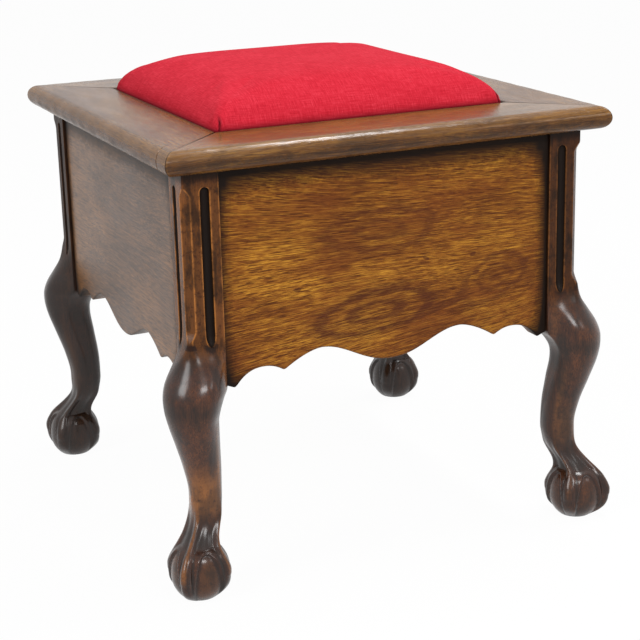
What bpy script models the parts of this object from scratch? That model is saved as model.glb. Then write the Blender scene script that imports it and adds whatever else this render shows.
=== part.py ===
"""Shoe shine footstool: a square carcass on cabriole legs under a hinged lid with a padded slip seat.

Units are metres. X runs along the front, -Y is the front, Z is up.
The origin is on the floor under the middle of the stool.
"""

from collections import namedtuple
from math import atan2, cos, pi, radians, sin, sqrt

import bmesh
import bpy
import numpy as np
from mathutils import Matrix, Vector

MM = 0.001

# Clearances
FIT = 0.3 * MM              # between pieces that touch
SCREW_FIT = 0.15 * MM       # round a screw in its hole
PIN_FIT = 0.1 * MM          # round a hinge pin in its knuckles

# Lid
LID_SIDE = 445 * MM
LID_TOP = 415 * MM
LID_THICKNESS = 22 * MM
LID_OVERHANG = 21.2 * MM    # past the outer faces of the posts
RAIL_WIDTH = 74 * MM
LEDGE_WIDTH = 14 * MM       # step inside the rails that carries the seat
LEDGE_THICKNESS = 8 * MM
RAIL_ARRIS = 1.5 * MM
SPLINE_LENGTH = 34 * MM     # along the mitre
SPLINE_WIDTH = 20 * MM      # across the mitre
SPLINE_THICKNESS = 4 * MM

# Slip seat
BOARD_THICKNESS = 9 * MM
COVER_THICKNESS = 1.2 * MM
PAD_SIDE = 3.2 * MM         # straight side of the pad above the board
SEAT_CROWN = 40.2 * MM      # top of the seat above the pad's edge
SEAT_CORNER_RADIUS = 7 * MM
SEAT_BULGE = 4.6            # how full the pad is, as powers of its plan and of its rise
SEAT_RISE = 1.9
SEAT_SOFTENING = 0.9        # how soon the pad's corners melt into its crown
ROUNDEST = 0.98             # largest corner radius, as a share of half the pad
SEAT_RINGS = 8
SEAT_CORNER_POINTS = 5

# Posts and panels
POST_SIDE = 34 * MM
POST_ARRIS = 1.2 * MM
PANEL_THICKNESS = 18 * MM
PANEL_SETBACK = 3 * MM      # behind the faces of the posts
TONGUE_LENGTH = 10 * MM
TONGUE_THICKNESS = 8 * MM
TONGUE_BOTTOM = 209 * MM

# Flutes of a post and the stopped chamfer on its arris
FLUTE_RADIUS = 4.6 * MM
FLUTE_FROM_ARRIS = 20.5 * MM
FLUTE_PROUD = 0.3 * MM      # its centre line outside the post's face
FLUTE_BELOW_RIM = 14 * MM
FLUTE_BOTTOM = 234 * MM
FLUTE_TONGUE = 12 * MM      # drawn-out lower end
FLUTE_END_STEPS = (0.08, 0.5, 1.0)
CHAMFER = 7 * MM            # cut back on each face
CHAMFER_RUNOUT = 11 * MM
CHAMFER_BELOW_RIM = 12 * MM
CHAMFER_BOTTOM = 236 * MM
RUNOUT_RINGS = 3

# Lower edge of a panel, heights above the floor and places from a post's inner face
LOBE_HEIGHT = 194.5 * MM
ARCH_HEIGHT = 215.8 * MM
CUSP_HEIGHT = 200 * MM
SMALL_ARCH_HEIGHT = 206.5 * MM
DROP_HEIGHT = 190.8 * MM
PANEL_END_HEIGHT = 194.4 * MM
CUSP_FROM_POST = 57.6 * MM
SMALL_ARCH_FROM_POST = 38.3 * MM
DROP_FROM_POST = 9.3 * MM
ARCH_CREST = 0.656          # share of the way from the middle to the cusp
OGEE_LEAN = 1.15            # powers that shape the ogee and the falls of the large and the small arch
ARCH_FALL = 1.6
SMALL_ARCH_FALL = 2.5
EDGE_STEPS = 5

# Cabriole leg, as sections that are alike on both sides of the corner's diagonal. Each side falls from a
# crest by the outer corner to an arris by the panel, and slopes in behind the arris to the inner corner.
# Offsets are from the post's outer and inner faces.
Station = namedtuple("Station", "height outward outer_radius arris_out arris_in arris_radius inward inner_radius")
LEG_STATIONS = [
    Station(54 * MM, 11.0 * MM, 13.5 * MM, 11.0 * MM, 12.5 * MM, 13.5 * MM, 11.0 * MM, 13.5 * MM),
    Station(74 * MM, 4.4 * MM, 12.0 * MM, 2.2 * MM, 11.0 * MM, 12.0 * MM, 8.0 * MM, 12.0 * MM),
    Station(93 * MM, 3.2 * MM, 12.5 * MM, 0.0 * MM, 11.0 * MM, 11.0 * MM, 5.8 * MM, 12.5 * MM),
    Station(118 * MM, 7.4 * MM, 16.0 * MM, 3.0 * MM, 12.2 * MM, 8.0 * MM, 6.4 * MM, 13.0 * MM),
    Station(143 * MM, 15.0 * MM, 20.0 * MM, 8.5 * MM, 14.5 * MM, 5.5 * MM, 9.0 * MM, 13.0 * MM),
    Station(165 * MM, 22.0 * MM, 25.0 * MM, 12.0 * MM, 15.5 * MM, 4.5 * MM, 10.8 * MM, 16.0 * MM),
    Station(177 * MM, 24.6 * MM, 28.0 * MM, 11.0 * MM, 12.0 * MM, 3.5 * MM, 9.6 * MM, 17.0 * MM),
    Station(187 * MM, 25.2 * MM, 29.5 * MM, 6.5 * MM, 6.0 * MM, 2.6 * MM, 5.2 * MM, 15.0 * MM),
    Station(195 * MM, 24.0 * MM, 30.0 * MM, 1.6 * MM, 0.4 * MM, 1.8 * MM, 0.2 * MM, 10.0 * MM),
    Station(203 * MM, 21.0 * MM, 29.0 * MM, 0.8 * MM, 0.0 * MM, 1.5 * MM, 0.0 * MM, 5.0 * MM),
    Station(213 * MM, 14.8 * MM, 24.0 * MM, 0.5 * MM, 0.0 * MM, 1.3 * MM, 0.0 * MM, 2.0 * MM),
    Station(225 * MM, 6.6 * MM, 14.0 * MM, 0.2 * MM, 0.0 * MM, POST_ARRIS, 0.0 * MM, POST_ARRIS),
    Station(237 * MM, 1.8 * MM, 5.0 * MM, 0.0 * MM, 0.0 * MM, POST_ARRIS, 0.0 * MM, POST_ARRIS),
    Station(250 * MM, 0.0 * MM, POST_ARRIS, 0.0 * MM, 0.0 * MM, POST_ARRIS, 0.0 * MM, POST_ARRIS),
]
ARRIS_SLOPE = 1.4           # fall of a section behind its arris
ARRIS_SHARE = 0.6           # of its radius, taken off on each side of an arris
CHAMFER_BLEND = 4           # power that turns a round corner into the chamfer
LEG_RING_STEP = 14 * MM
KNEE_BOTTOM = 166 * MM
KNEE_TOP = 206 * MM
KNEE_RING_STEP = 8 * MM
OUTER_POINTS = 4            # of half a section: its outer corner, front, arris and inner corner
FRONT_POINTS = 3
ARRIS_POINTS = 4
INNER_POINTS = 4
HALF_POINTS = OUTER_POINTS + FRONT_POINTS + ARRIS_POINTS + INNER_POINTS

# Claw-and-ball foot
FOOT_SHIFT = 18.6 * MM      # of its middle from the middle of the post, along X and Y
FOOT_BLEND = 56 * MM        # height at which the foot starts to turn into the ankle
ANKLE_HEIGHT = 74 * MM
BALL_RADIUS = 25 * MM
BALL_HEIGHT = 20.5 * MM
NECK_RADIUS = 21 * MM       # of the web that grips the top of the ball
NECK_HEIGHT = 42 * MM
CLAW_TIP = 14 * MM
CLAW_REACH = 31 * MM
CLAW_ROOT = 17.6 * MM       # reach of a claw where the foot starts to turn into the ankle
CLAW_KNUCKLE_HEIGHT = 33 * MM
CLAW_TOE_HEIGHT = 13 * MM
OUTER_CLAW_EXTRA = 3.5 * MM
CLAW_HALF_ANGLE = radians(25)
FOOT_RINGS = 12

# Box inside the carcass
CLEAT_SIDE = 15 * MM
CLEAT_BOTTOM = 222 * MM
CLEAT_SHORT = 10 * MM       # gap between a cleat's end and the post
CLEAT_SCREW_FROM_END = 45 * MM
BOTTOM_THICKNESS = 9 * MM
REST_THICKNESS = 36 * MM
REST_WIDTH = 80 * MM
SOLE_BELOW_RIM = 15 * MM
SOLE_THICKNESS = 14 * MM
SOLE_LENGTH = 236 * MM
TOE_RADIUS = 43 * MM
HEEL_RADIUS = 32 * MM
HEEL_LENGTH = 54 * MM
HEEL_THICKNESS = 10 * MM
REST_SCREW_SPACING = 56 * MM
SOLE_SCREW_SPACING = 28 * MM

# Butt hinges
HINGE_FROM_POST = 52.3 * MM  # its middle from the post's inner face
HINGE_LENGTH = 60 * MM
HINGE_KNUCKLES = 5
KNUCKLE_RADIUS = 4 * MM
KNUCKLE_GAP = 0.4 * MM
LEAF_WIDTH = 14 * MM        # on the panel's top
LEAF_THICKNESS = 1.8 * MM
PIN_RADIUS = 1.6 * MM
HINGE_SCREW_FROM_END = 13 * MM
POCKET_CLEARANCE = 0.8 * MM
ROUND_SIDES = 10
ARC_STEPS = 8               # of a half circle

# Screws: head radius, shank radius, length
Screw = namedtuple("Screw", "head shank length")
HINGE_SCREW = Screw(2.6 * MM, 1.3 * MM, 12 * MM)
SEAT_SCREW = Screw(3.6 * MM, 1.8 * MM, 13.5 * MM)
CLEAT_SCREW = Screw(3.6 * MM, 1.8 * MM, 25 * MM)
REST_SCREW = Screw(3.8 * MM, 1.9 * MM, 32 * MM)
SCREW_SIDES = 8
SCREW_TIP = 0.45            # radius of the tip as a share of the shank

# Derived places
LID_HALF = LID_SIDE / 2
LID_BOTTOM = LID_TOP - LID_THICKNESS
RIM = LID_BOTTOM - FIT
OPENING = LID_HALF - RAIL_WIDTH
LEDGE_TOP = LID_BOTTOM + LEDGE_THICKNESS
POST_OUT = LID_HALF - LID_OVERHANG
POST_IN = POST_OUT - POST_SIDE
POST_MIDDLE = (POST_OUT + POST_IN) / 2
PANEL_OUT = POST_OUT - PANEL_SETBACK
PANEL_IN = PANEL_OUT - PANEL_THICKNESS
TONGUE_MIDDLE = (PANEL_OUT + PANEL_IN) / 2
BOARD_HALF = OPENING - COVER_THICKNESS - 2 * FIT
BOARD_BOTTOM = LEDGE_TOP + FIT
BOARD_TOP = BOARD_BOTTOM + BOARD_THICKNESS
PAD_BOTTOM = BOARD_TOP + FIT
PAD_EDGE = PAD_BOTTOM + PAD_SIDE
SEAT_TOP = PAD_EDGE + SEAT_CROWN
CLEAT_TOP = CLEAT_BOTTOM + CLEAT_SIDE
BOTTOM_TOP = CLEAT_TOP + FIT + BOTTOM_THICKNESS
SOLE_TOP = RIM - SOLE_BELOW_RIM
SOLE_BOTTOM = SOLE_TOP - SOLE_THICKNESS
HINGE_Y = PANEL_OUT + KNUCKLE_RADIUS + FIT
HINGE_Z = RIM + FIT / 2

# Sides in plan, each a quarter turn from the one before, and signs of X and Y in the corners
SIDES = ("front", "right", "back", "left")
CORNERS = {"front_left": (-1, -1), "front_right": (1, -1), "back_left": (-1, 1), "back_right": (1, 1)}

# Finishes: colour, roughness, metallic
FINISHES = {
    "leg_wood": ((0.105, 0.032, 0.014), 0.30, 0.0),
    "panel_wood": ((0.245, 0.105, 0.038), 0.32, 0.0),
    "lid_wood": ((0.160, 0.055, 0.022), 0.28, 0.0),
    "inside_wood": ((0.420, 0.260, 0.130), 0.60, 0.0),
    "plywood": ((0.520, 0.370, 0.200), 0.70, 0.0),
    "foam": ((0.780, 0.700, 0.480), 0.90, 0.0),
    "red_cloth": ((0.640, 0.030, 0.060), 0.85, 0.0),
    "brass": ((0.620, 0.430, 0.160), 0.35, 1.0),
    "steel": ((0.450, 0.440, 0.420), 0.40, 1.0),
}


def clear_scene():
    """Remove every object that the scene starts with."""
    for item in list(bpy.data.objects):
        bpy.data.objects.remove(item)


def finish(name):
    """Return the material of a finish, made on first use."""
    material = bpy.data.materials.get(name)
    if material is None:
        colour, roughness, metallic = FINISHES[name]
        material = bpy.data.materials.new(name)
        material.use_nodes = True
        shader = material.node_tree.nodes["Principled BSDF"]
        shader.inputs["Base Color"].default_value = (*colour, 1.0)
        shader.inputs["Roughness"].default_value = roughness
        shader.inputs["Metallic"].default_value = metallic
    return material


def add_empty(name, place):
    """Add an empty that carries a group of pieces."""
    empty = bpy.data.objects.new(name, None)
    empty.location = place
    empty.empty_display_size = 0.05
    bpy.context.collection.objects.link(empty)
    return empty


def add_piece(name, shape, material, parent=None, smooth=None):
    """Turn a bmesh in world coordinates into a named object, carried by parent."""
    bmesh.ops.recalc_face_normals(shape, faces=shape.faces)
    mesh = bpy.data.meshes.new(name)
    shape.to_mesh(mesh)
    shape.free()
    if smooth is not None:
        mesh.shade_smooth()
        mesh.set_sharp_from_angle(angle=radians(smooth))
    piece = bpy.data.objects.new(name, mesh)
    bpy.context.collection.objects.link(piece)
    if material:
        mesh.materials.append(finish(material))
    if parent:
        piece.parent = parent
        piece.matrix_parent_inverse = Matrix.Translation(parent.location).inverted()
    return piece


def combine(piece, shape, operation):
    """Cut a bmesh out of a piece, or join it on."""
    tool = add_piece("tool", shape, None)
    modifier = piece.modifiers.new("combine", "BOOLEAN")
    modifier.operation = operation
    modifier.solver = "EXACT"
    modifier.object = tool
    graph = bpy.context.evaluated_depsgraph_get()
    result = bpy.data.meshes.new_from_object(piece.evaluated_get(graph))
    piece.modifiers.remove(modifier)
    before = piece.data
    piece.data = result
    bpy.data.meshes.remove(before)
    bpy.data.objects.remove(tool)
    result.name = piece.name


def cut(piece, shape):
    """Cut a bmesh out of a piece."""
    combine(piece, shape, "DIFFERENCE")


def join(piece, shape):
    """Join a bmesh onto a piece."""
    combine(piece, shape, "UNION")


def box(low, high):
    """Return a box between two opposite corners."""
    shape = bmesh.new()
    middle = (Vector(low) + Vector(high)) / 2
    size = Vector(high) - Vector(low)
    place = Matrix.Translation(middle) @ Matrix.Diagonal((*size, 1.0))
    bmesh.ops.create_cube(shape, size=1.0, matrix=place)
    return shape


def loft(rings):
    """Return a closed skin over rings of equally many points, with flat ends."""
    shape = bmesh.new()
    loops = [[shape.verts.new(point) for point in ring] for ring in rings]
    count = len(loops[0])
    for lower, upper in zip(loops, loops[1:]):
        for i in range(count):
            j = (i + 1) % count
            shape.faces.new((lower[i], lower[j], upper[j], upper[i]))
    shape.faces.new(loops[0])
    shape.faces.new(loops[-1])
    return shape


def turned(profile, start, direction, sides):
    """Return a turned solid: profile holds (distance along the axis, radius), away from start."""
    axis = Vector(direction).normalized()
    across = axis.orthogonal().normalized()
    other = axis.cross(across)
    rings = []
    for distance, radius in profile:
        centre = Vector(start) + axis * distance
        angles = [2 * pi * i / sides for i in range(sides)]
        rings.append([centre + (across * cos(a) + other * sin(a)) * radius for a in angles])
    return loft(rings)


def plate(outline, bottom, top):
    """Return a level plate with an outline in X and Y."""
    return loft([[(x, y, z) for x, y in outline] for z in (bottom, top)])


def turned_place(side, x, y, z):
    """Return a place that is given on the front side, turned to another side."""
    for _ in range(SIDES.index(side)):
        x, y = -y, x
    return Vector((x, y, z))


def turn(shape, side):
    """Turn a bmesh from the front side to another side."""
    for vertex in shape.verts:
        vertex.co = turned_place(side, *vertex.co)
    return shape


def smooth_curve(heights, values, height):
    """Read a smooth curve through given points, without overshoot between them."""
    xs = np.array(heights)
    ys = np.array(values)
    steps = np.diff(xs)
    slopes = np.diff(ys) / steps
    tangents = np.concatenate([slopes[:1], (slopes[1:] + slopes[:-1]) / 2, slopes[-1:]])
    for i in range(1, len(slopes)):
        if slopes[i - 1] * slopes[i] <= 0:
            tangents[i] = 0.0
        else:
            limit = 3 * min(abs(slopes[i - 1]), abs(slopes[i]))
            tangents[i] = np.clip(tangents[i], -limit, limit)
    i = int(np.clip(np.searchsorted(xs, height) - 1, 0, len(steps) - 1))
    t = float(np.clip((height - xs[i]) / steps[i], 0.0, 1.0))
    return float(
        ys[i] * (1 + 2 * t) * (1 - t) ** 2
        + tangents[i] * steps[i] * t * (1 - t) ** 2
        + ys[i + 1] * t * t * (3 - 2 * t)
        + tangents[i + 1] * steps[i] * t * t * (t - 1)
    )


def station_value(field, height):
    """Read one field of the leg's stations at a height."""
    return smooth_curve([s.height for s in LEG_STATIONS], [getattr(s, field) for s in LEG_STATIONS], height)


def chamfer_at(height):
    """Return how far the outer arris is cut back at a height, with a run-out at each end."""
    low = CHAMFER_BOTTOM
    high = RIM - CHAMFER_BELOW_RIM
    heights = (low, low + CHAMFER_RUNOUT, high - CHAMFER_RUNOUT, high)
    return smooth_curve(heights, (0.0, CHAMFER, CHAMFER, 0.0), height)


def outer_corner(edge, radius, back):
    """Return half of a section's outer corner, from its diagonal: round, or a chamfer that takes back off."""
    start = (radius ** CHAMFER_BLEND + back ** CHAMFER_BLEND) ** (1 / CHAMFER_BLEND)
    flat = (back / start) ** CHAMFER_BLEND
    points = []
    for share in np.linspace(0.5, 0.0, OUTER_POINTS):
        angle = share * pi / 2
        p = (1 - flat) * (1 - cos(angle)) + flat * share
        q = (1 - flat) * (1 - sin(angle)) + flat * (1 - share)
        points.append((edge - start * p, edge - start * q))
    return points


def leg_section(height):
    """Return half of the leg's section at a height, from its outer corner, as offsets outward along both sides."""
    at = Station(height, *(station_value(field, height) for field in Station._fields[1:]))
    outer = POST_OUT + at.outward
    inner = POST_IN + at.inward
    points = outer_corner(outer, at.outer_radius, chamfer_at(height))
    crest = points[-1]
    arris = np.array((POST_OUT + at.arris_out, POST_IN + at.arris_in))
    softening = at.arris_radius * ARRIS_SHARE
    last = 1 - softening / (crest[1] - arris[1])
    for share in np.linspace(0.0, last, FRONT_POINTS + 2)[1:]:
        points.append((outer - (outer - arris[0]) * share ** 2, crest[1] + (arris[1] - crest[1]) * share))
    foot = (arris[0] - ARRIS_SLOPE * (arris[1] - inner), inner)
    behind = np.array((arris, foot, (inner + at.inner_radius, inner)))
    lengths = np.concatenate(((0.0,), np.cumsum(np.hypot(*np.diff(behind, axis=0).T))))
    near, far = [
        np.array([np.interp(along, lengths, behind[:, axis]) for axis in (0, 1)])
        for along in (softening, max(lengths[1], 2 * softening))
    ]
    points += [tuple((np.array(points[-1]) + 2 * arris + near) / 4), tuple(near), tuple(far)]
    for angle in np.linspace(-pi / 2, -3 * pi / 4, INNER_POINTS):
        points.append((inner + at.inner_radius * (1 + cos(angle)), inner + at.inner_radius * (1 + sin(angle))))
    return points


def foot_radius(from_outward, height):
    """Return the foot's radius in a direction measured from the outward diagonal."""
    off_centre = min(abs(height - BALL_HEIGHT), BALL_RADIUS)
    ball = sqrt(BALL_RADIUS ** 2 - off_centre ** 2)
    ankle = LEG_STATIONS[1].outer_radius
    neck = smooth_curve((NECK_HEIGHT, ANKLE_HEIGHT), (NECK_RADIUS, ankle), height)
    body = ball if height < NECK_HEIGHT else neck
    heights = (0.0, CLAW_TOE_HEIGHT, CLAW_KNUCKLE_HEIGHT, FOOT_BLEND, ANKLE_HEIGHT)
    reach = smooth_curve(heights, (CLAW_TIP, CLAW_REACH, CLAW_REACH, CLAW_ROOT, ankle), height)
    quarter = pi / 2
    nearest = round(from_outward / quarter)
    off_claw = abs(from_outward - nearest * quarter)
    if nearest % 4 == 0:
        fade = smooth_curve((0.0, CLAW_KNUCKLE_HEIGHT, ANKLE_HEIGHT), (1.0, 1.0, 0.0), height)
        reach += OUTER_CLAW_EXTRA * fade
    ridge = cos(min(off_claw / CLAW_HALF_ANGLE, 1.0) * pi / 2) ** 2
    return body + max(reach - body, 0.0) * ridge


def foot_section(height):
    """Return half of the claw-and-ball foot's outline at a height, from its outer claw."""
    ankle = LEG_STATIONS[1]
    ankle_shift = POST_MIDDLE + (ankle.outward + ankle.inward) / 2
    heights = (0.0, NECK_HEIGHT, ANKLE_HEIGHT)
    foot_shift = POST_MIDDLE + FOOT_SHIFT
    centre = smooth_curve(heights, (foot_shift, foot_shift, ankle_shift), height)
    points = []
    for from_outward in np.linspace(0.0, pi, HALF_POINTS):
        radius = foot_radius(from_outward, height)
        angle = pi / 4 - from_outward
        points.append((centre + radius * cos(angle), centre + radius * sin(angle)))
    return points


def leg_shape(across, along):
    """Return the solid of a leg in the corner with the given signs of X and Y."""
    rings = []
    heights = list(np.linspace(0.0, ANKLE_HEIGHT, FOOT_RINGS))
    runs = ((KNEE_BOTTOM, LEG_RING_STEP), (KNEE_TOP, KNEE_RING_STEP), (CHAMFER_BOTTOM, LEG_RING_STEP))
    for top, step in runs:
        steps = max(round((top - heights[-1]) / step), 1)
        heights += list(np.linspace(heights[-1], top, steps + 1))[1:]
    runouts = np.linspace(0.0, CHAMFER_RUNOUT, RUNOUT_RINGS + 1)
    heights += list(CHAMFER_BOTTOM + runouts[1:])
    heights += [max(heights[-1] + CHAMFER_RUNOUT, LEG_STATIONS[-1].height)]
    heights += list(RIM - CHAMFER_BELOW_RIM - CHAMFER_RUNOUT + runouts)
    for height in heights + [RIM]:
        if height <= FOOT_BLEND:
            section = foot_section(height)
        elif height >= ANKLE_HEIGHT:
            section = leg_section(height)
        else:
            share = smooth_curve((FOOT_BLEND, ANKLE_HEIGHT), (0.0, 1.0), height)
            pairs = zip(foot_section(height), leg_section(height))
            section = [(a * (1 - share) + c * share, b * (1 - share) + d * share) for (a, b), (c, d) in pairs]
        whole = section + [(q, p) for p, q in reversed(section[1:-1])]
        rings.append([(across * p, along * q, height) for p, q in whole])
    return loft(rings)


def flute(x, y):
    """Return the cutter of a stopped flute: round above, drawn out to a tongue below."""
    top = RIM - FLUTE_BELOW_RIM
    profile = []
    for share in FLUTE_END_STEPS:
        angle = pi / 2 * share
        profile.append((FLUTE_TONGUE * (1 - cos(angle)), FLUTE_RADIUS * sin(angle)))
    height = top - FLUTE_BOTTOM
    for share in reversed(FLUTE_END_STEPS):
        angle = pi / 2 * share
        profile.append((height - FLUTE_RADIUS * (1 - cos(angle)), FLUTE_RADIUS * sin(angle)))
    return turned(profile, (x, y, FLUTE_BOTTOM), (0, 0, 1), ROUND_SIDES)


def build_leg(corner, parent):
    """Build a leg with its fluted post and the grooves for two panels."""
    across, along = CORNERS[corner]
    leg = add_piece(f"leg_{corner}", leg_shape(across, along), "leg_wood", parent, smooth=35)
    face = POST_OUT + FLUTE_PROUD
    aside = POST_OUT - FLUTE_FROM_ARRIS
    cut(leg, flute(across * face, along * aside))
    cut(leg, flute(across * aside, along * face))
    half = TONGUE_THICKNESS / 2 + FIT
    near = POST_IN - POST_SIDE / 4
    far = POST_IN + TONGUE_LENGTH + FIT
    low = TONGUE_BOTTOM - FIT
    high = RIM + POST_SIDE
    left = TONGUE_MIDDLE - half
    right = TONGUE_MIDDLE + half
    for (x0, x1), (y0, y1) in (((near, far), (left, right)), ((left, right), (near, far))):
        xs = sorted((across * x0, across * x1))
        ys = sorted((along * y0, along * y1))
        cut(leg, box((xs[0], ys[0], low), (xs[1], ys[1], high)))
    return leg


def ease(t):
    """Run from 0 to 1 with level ends."""
    return (1 - cos(pi * t)) / 2


def lower_edge():
    """Return half of a panel's lower edge, from its middle to its end."""
    end = POST_IN - FIT
    cusp = POST_IN - CUSP_FROM_POST
    crest = cusp * ARCH_CREST
    small = POST_IN - SMALL_ARCH_FROM_POST
    drop = POST_IN - DROP_FROM_POST
    stretches = [
        (0.0, crest, LOBE_HEIGHT, ARCH_HEIGHT, lambda t: ease(t) ** OGEE_LEAN),
        (crest, cusp, ARCH_HEIGHT, CUSP_HEIGHT, lambda t: t ** ARCH_FALL),
        (cusp, small, CUSP_HEIGHT, SMALL_ARCH_HEIGHT, lambda t: 1 - (1 - t) ** 2),
        (small, drop, SMALL_ARCH_HEIGHT, DROP_HEIGHT, lambda t: t ** SMALL_ARCH_FALL),
        (drop, end, DROP_HEIGHT, PANEL_END_HEIGHT, lambda t: t),
    ]
    points = [(0.0, LOBE_HEIGHT)]
    for x0, x1, z0, z1, rise in stretches:
        for i in range(1, EDGE_STEPS + 1):
            t = i / EDGE_STEPS
            points.append((x0 + (x1 - x0) * t, z0 + (z1 - z0) * rise(t)))
    return points


def build_panel(side, parent):
    """Build a scalloped panel with a tongue on each end."""
    half = lower_edge()
    outline = [(-x, z) for x, z in reversed(half[1:])] + half
    outline += [(POST_IN - FIT, RIM), (-(POST_IN - FIT), RIM)]
    shape = loft([[(x, y, z) for x, z in outline] for y in (-PANEL_OUT, -PANEL_IN)])
    panel = add_piece(f"panel_{side}", turn(shape, side), "panel_wood", parent)
    inside = POST_IN - TONGUE_LENGTH
    outside = POST_IN + TONGUE_LENGTH
    for sign in (-1, 1):
        xs = sorted((sign * inside, sign * outside))
        tongue = box((xs[0], -TONGUE_MIDDLE - TONGUE_THICKNESS / 2, TONGUE_BOTTOM),
                     (xs[1], -TONGUE_MIDDLE + TONGUE_THICKNESS / 2, RIM))
        join(panel, turn(tongue, side))
    return panel


def screw_profile(screw, spare=0.0):
    """Return the turned profile of a countersunk screw, or of its hole with some spare room."""
    cone = screw.head - screw.shank
    straight = screw.length - 2 * screw.shank
    return [
        (-spare, screw.head + spare),
        (cone, screw.shank + spare),
        (straight, screw.shank + spare),
        (screw.length + spare, screw.shank * SCREW_TIP + spare),
    ]


def build_screw(name, screw, head, direction, through, parent, material="brass"):
    """Build a screw with its head at a place, and make its hole in each piece it goes through."""
    place = Vector(head) + Vector(direction) * FIT
    for piece in through:
        cut(piece, turned(screw_profile(screw, SCREW_FIT + FIT / 2), place, direction, SCREW_SIDES))
    shape = turned(screw_profile(screw), place, direction, SCREW_SIDES)
    return add_piece(name, shape, material, parent, smooth=35)


def build_cleats(panels, parent):
    """Build the four cleats that carry the bottom board, screwed to the panels."""
    half = POST_IN - CLEAT_SHORT
    front = PANEL_IN - FIT
    middle = CLEAT_BOTTOM + CLEAT_SIDE / 2
    for side in SIDES:
        shape = box((-half, -front, CLEAT_BOTTOM), (half, -front + CLEAT_SIDE, CLEAT_TOP))
        cleat = add_piece(f"cleat_{side}", turn(shape, side), "inside_wood", parent)
        for number, sign in enumerate((-1, 1), start=1):
            x = sign * (half - CLEAT_SCREW_FROM_END)
            head = turned_place(side, x, -front + CLEAT_SIDE, middle)
            direction = turned_place(side, 0, -1, 0)
            through = (cleat, panels[side])
            build_screw(f"cleat_screw_{side}_{number}", CLEAT_SCREW, head, direction, through, parent, "steel")


def build_bottom_board(parent):
    """Build the floor of the box, notched round the posts."""
    far = PANEL_IN - FIT
    near = POST_IN - FIT
    notch = [(near, -far), (near, -near), (far, -near)]
    outline = [turned_place(side, x, y, 0.0).xy for side in SIDES for x, y in notch]
    shape = plate(outline, CLEAT_TOP + FIT, BOTTOM_TOP)
    return add_piece("bottom_board", shape, "inside_wood", parent)


def sole_outline():
    """Return the outline of the shoe rest: a round toe and a narrower round heel."""
    toe = -(SOLE_LENGTH / 2 - TOE_RADIUS)
    heel = SOLE_LENGTH / 2 - HEEL_RADIUS
    lean = (TOE_RADIUS - HEEL_RADIUS) / (heel - toe)
    points = []
    for i in range(ARC_STEPS + 1):
        angle = -pi + pi * i / ARC_STEPS
        points.append((TOE_RADIUS * cos(angle), toe + TOE_RADIUS * sin(angle)))
    waist = TOE_RADIUS - lean * (heel - toe) / 2
    points.append((waist, (toe + heel) / 2))
    for i in range(ARC_STEPS + 1):
        angle = pi * i / ARC_STEPS
        points.append((HEEL_RADIUS * cos(angle), heel + HEEL_RADIUS * sin(angle)))
    points.append((-waist, (toe + heel) / 2))
    return points


def build_shoe_rest(bottom_board, parent):
    """Build the shoe rest: an upright on the floor of the box, a sole and a heel block."""
    half_thick = REST_THICKNESS / 2
    half_wide = REST_WIDTH / 2
    shape = box((-half_thick, -half_wide, BOTTOM_TOP + FIT), (half_thick, half_wide, SOLE_BOTTOM - FIT))
    upright = add_piece("rest_upright", shape, "inside_wood", parent)
    sole = add_piece("rest_sole", plate(sole_outline(), SOLE_BOTTOM, SOLE_TOP), "inside_wood", parent)
    back = SOLE_LENGTH / 2 - HEEL_RADIUS
    front = SOLE_LENGTH / 2 - HEEL_LENGTH
    outline = [(-HEEL_RADIUS, front), (HEEL_RADIUS, front)]
    for i in range(ARC_STEPS + 1):
        angle = pi * i / ARC_STEPS
        outline.append((HEEL_RADIUS * cos(angle), back + HEEL_RADIUS * sin(angle)))
    heel_bottom = SOLE_TOP + FIT
    add_piece("rest_heel", plate(outline, heel_bottom, heel_bottom + HEEL_THICKNESS), "inside_wood", parent)
    under = CLEAT_TOP + FIT
    for number, sign in enumerate((-1, 1), start=1):
        head = (0, sign * REST_SCREW_SPACING / 2, under)
        through = (bottom_board, upright)
        build_screw(f"rest_screw_{number}", REST_SCREW, head, (0, 0, 1), through, parent, "steel")
        head = (0, sign * SOLE_SCREW_SPACING / 2, SOLE_TOP)
        through = (sole, upright)
        build_screw(f"sole_screw_{number}", REST_SCREW, head, (0, 0, -1), through, parent, "steel")


def rail_profile():
    """Return a lid rail's section as (distance out from the middle, height)."""
    radius = LID_THICKNESS / 2
    centre = LID_HALF - radius
    inner = OPENING - LEDGE_WIDTH
    points = [(OPENING + RAIL_ARRIS, LID_TOP), (OPENING, LID_TOP - RAIL_ARRIS), (OPENING, LEDGE_TOP)]
    points += [(inner, LEDGE_TOP), (inner, LID_BOTTOM)]
    for i in range(ARC_STEPS + 1):
        angle = -pi / 2 + pi * i / ARC_STEPS
        points.append((centre + radius * cos(angle), LID_BOTTOM + radius + radius * sin(angle)))
    return points


def build_rail(side, parent):
    """Build a mitred rail of the lid's frame."""
    profile = rail_profile()
    mitre = FIT / 2
    rings = [[(sign * (out - mitre), -out, z) for out, z in profile] for sign in (-1, 1)]
    return add_piece(f"lid_rail_{side}", turn(loft(rings), side), "lid_wood", parent, smooth=35)


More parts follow.
